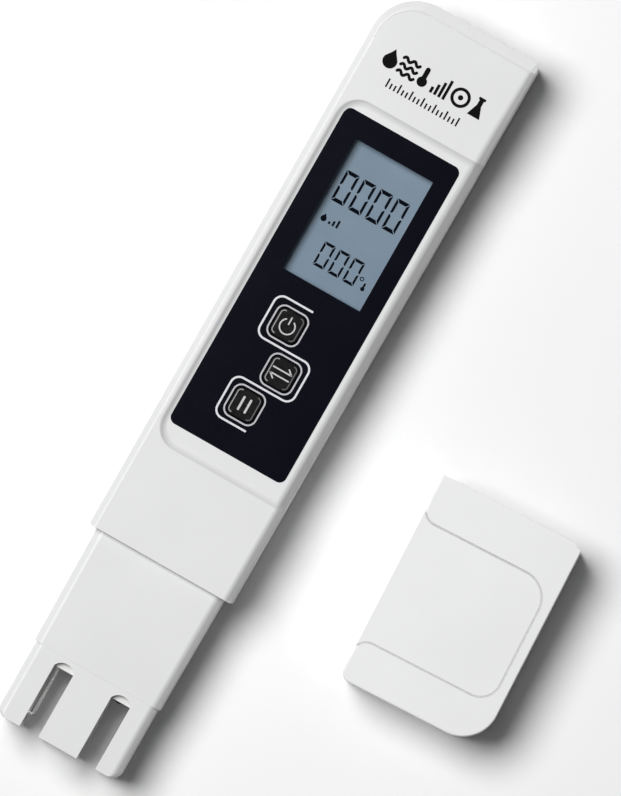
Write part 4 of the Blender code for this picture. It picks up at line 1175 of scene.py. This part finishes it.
def cap_field_line():
    """Right-hand run of the thumb field's edge, from its lower to its upper left flare."""
    low, high = CAP_FIELD_ENDS
    low_radius, high_radius = CAP_FIELD_RADII
    flare = CAP_FIELD_FLARE
    steps = CORNER_STEPS
    right = CAP_FIELD_RIGHT
    centre = -CAP_HALF + flare
    line = arc(centre, low - flare, flare, 180.0, 90.0, steps)
    line += arc(right - low_radius, low + low_radius, low_radius, -90.0, 0.0, steps)
    line += arc(right - high_radius, high - high_radius, high_radius, 0.0, 90.0, steps)
    line += arc(centre, high + flare, flare, 270.0, 180.0, steps)
    return line


def probe_cap():
    span = (-CAP_HALF, CAP_HALF, -CAP_LENGTH, 0.0)
    shape = slab(span, CAP_CORNERS, 0.0, CAP_THICKNESS, soft_edge(1.1, 1.1), soft_edge(0.3, 0.3),
                 (1.0, 1.0, 1.0, 0.15), (1.0, 0.6, 1.0, 0.1))
    wall = CAP_WALL
    inside = (-CAP_HALF + wall, CAP_HALF - wall, 0.9 - CAP_LENGTH, 1.0)
    cavity = slab(inside, shrink_radii(CAP_CORNERS, wall), wall, CAP_THICKNESS - wall - 0.15,
                  soft_edge(0.4, 0.4), soft_edge(0.4, 0.4))
    line = cap_field_line()
    edge = -CAP_HALF - 2.0
    field = prism(line + [(edge, line[-1][1]), (edge, line[0][1])], CAP_FIELD_HEIGHT,
                  CAP_THICKNESS + 1.0)
    width, depth = CAP_GROOVE
    path = [(line[0][0], line[0][1] - 1.0)] + line + [(line[-1][0], line[-1][1] + 1.0)]
    groove = ribbon(path, width, CAP_FIELD_HEIGHT - depth, CAP_THICKNESS + 1.0)
    across, along = CAP_CORNER_CUT
    corner = [(CAP_HALF - 1.5 * across, 0.5 * along), (CAP_HALF + 0.5 * across, -1.5 * along),
              (CAP_HALF + 0.5 * across, 0.5 * along)]
    shape = cut(shape, cavity, field, groove, prism(corner, -1.0, CAP_THICKNESS + 1.0))
    inner = [point for point in line if point[0] > -CAP_HALF + 0.4]
    floor = CAP_FIELD_HEIGHT - depth
    # The grey strip in the groove's floor is painted shade: it stands in for the darkness of the
    # groove round the thumb field.
    add_piece("probe_cap_groove_painted_shade", ribbon(inner, width - 0.02, floor - 0.1, floor + 0.24),
              "white_case", body="cap", look=GROOVE_PAINTED_SHADE, place=CAP_PLACE, edge=0)
    add_piece("probe_cap_skin", shape, "white_case", "probe_cap", body="cap",
              look=WHITE_CAP, place=CAP_PLACE, edge=0.03)


# Studio

def studio():
    floor = loft([[(x, y, z) for x, y in rounded((-1500, 1500, -1500, 1500), [300] * 4, 6)]
                  for z in (-4.0, -0.06)])
    mesh = mesh_of(floor, "studio_floor")
    mesh.transform(Matrix.Scale(MM, 4))
    mesh.materials.append(floor_surface("floor_paper"))
    stage = into_scene("studio_floor", mesh)

    lamp = bpy.data.lights.new("key_light", "AREA")
    lamp.shape = "ELLIPSE"
    lamp.size, lamp.size_y = LAMP_SIZE
    lamp.energy = LAMP_POWER
    light = into_scene("key_light", lamp)
    towards = Vector(LAMP_DIRECTION).normalized()
    light.location = Vector(LAMP_AIM) + towards
    light.rotation_mode = "QUATERNION"
    light.rotation_quaternion = towards.to_track_quat("Z", "Y")

    world = bpy.data.worlds.new("studio")
    world.use_nodes = True
    sky = world.node_tree.nodes["Background"]
    sky.inputs["Color"].default_value = SKY_COLOUR
    sky.inputs["Strength"].default_value = SKY_STRENGTH
    bpy.context.scene.world = world
    bpy.context.scene.view_settings.view_transform = "Standard"
    bpy.context.scene.view_settings.look = "None"


def camera():
    about_x, about_y, about_z = CAMERA_TURN
    turn = (Matrix.Rotation(about_z, 4, "Z") @ Matrix.Rotation(about_x, 4, "X")
            @ Matrix.Rotation(about_y, 4, "Y"))
    lens = bpy.data.cameras.new("camera")
    lens.sensor_width = 36.0
    lens.lens = CAMERA_SCALE * CAMERA_DISTANCE * lens.sensor_width / max(IMAGE_SIZE)
    lens.clip_start = 0.1
    lens.clip_end = 20.0
    view = into_scene("camera", lens)
    back = turn @ Vector((0.0, 0.0, CAMERA_DISTANCE))
    view.matrix_world = Matrix.Translation((Vector(CAMERA_TARGET) + back) * MM) @ turn
    bpy.context.scene.camera = view


def build():
    front_shell()
    rear_shell()
    battery_door()
    face_panel()
    window_plate()
    display()
    printed_lines()
    face_print()
    for name in KEY_NAMES:
        key(name)
    probe_sleeve()
    probe_guard()
    electrodes()
    electrode_block()
    probe_cap()
    dress_nodes()
    studio()
    camera()


build()
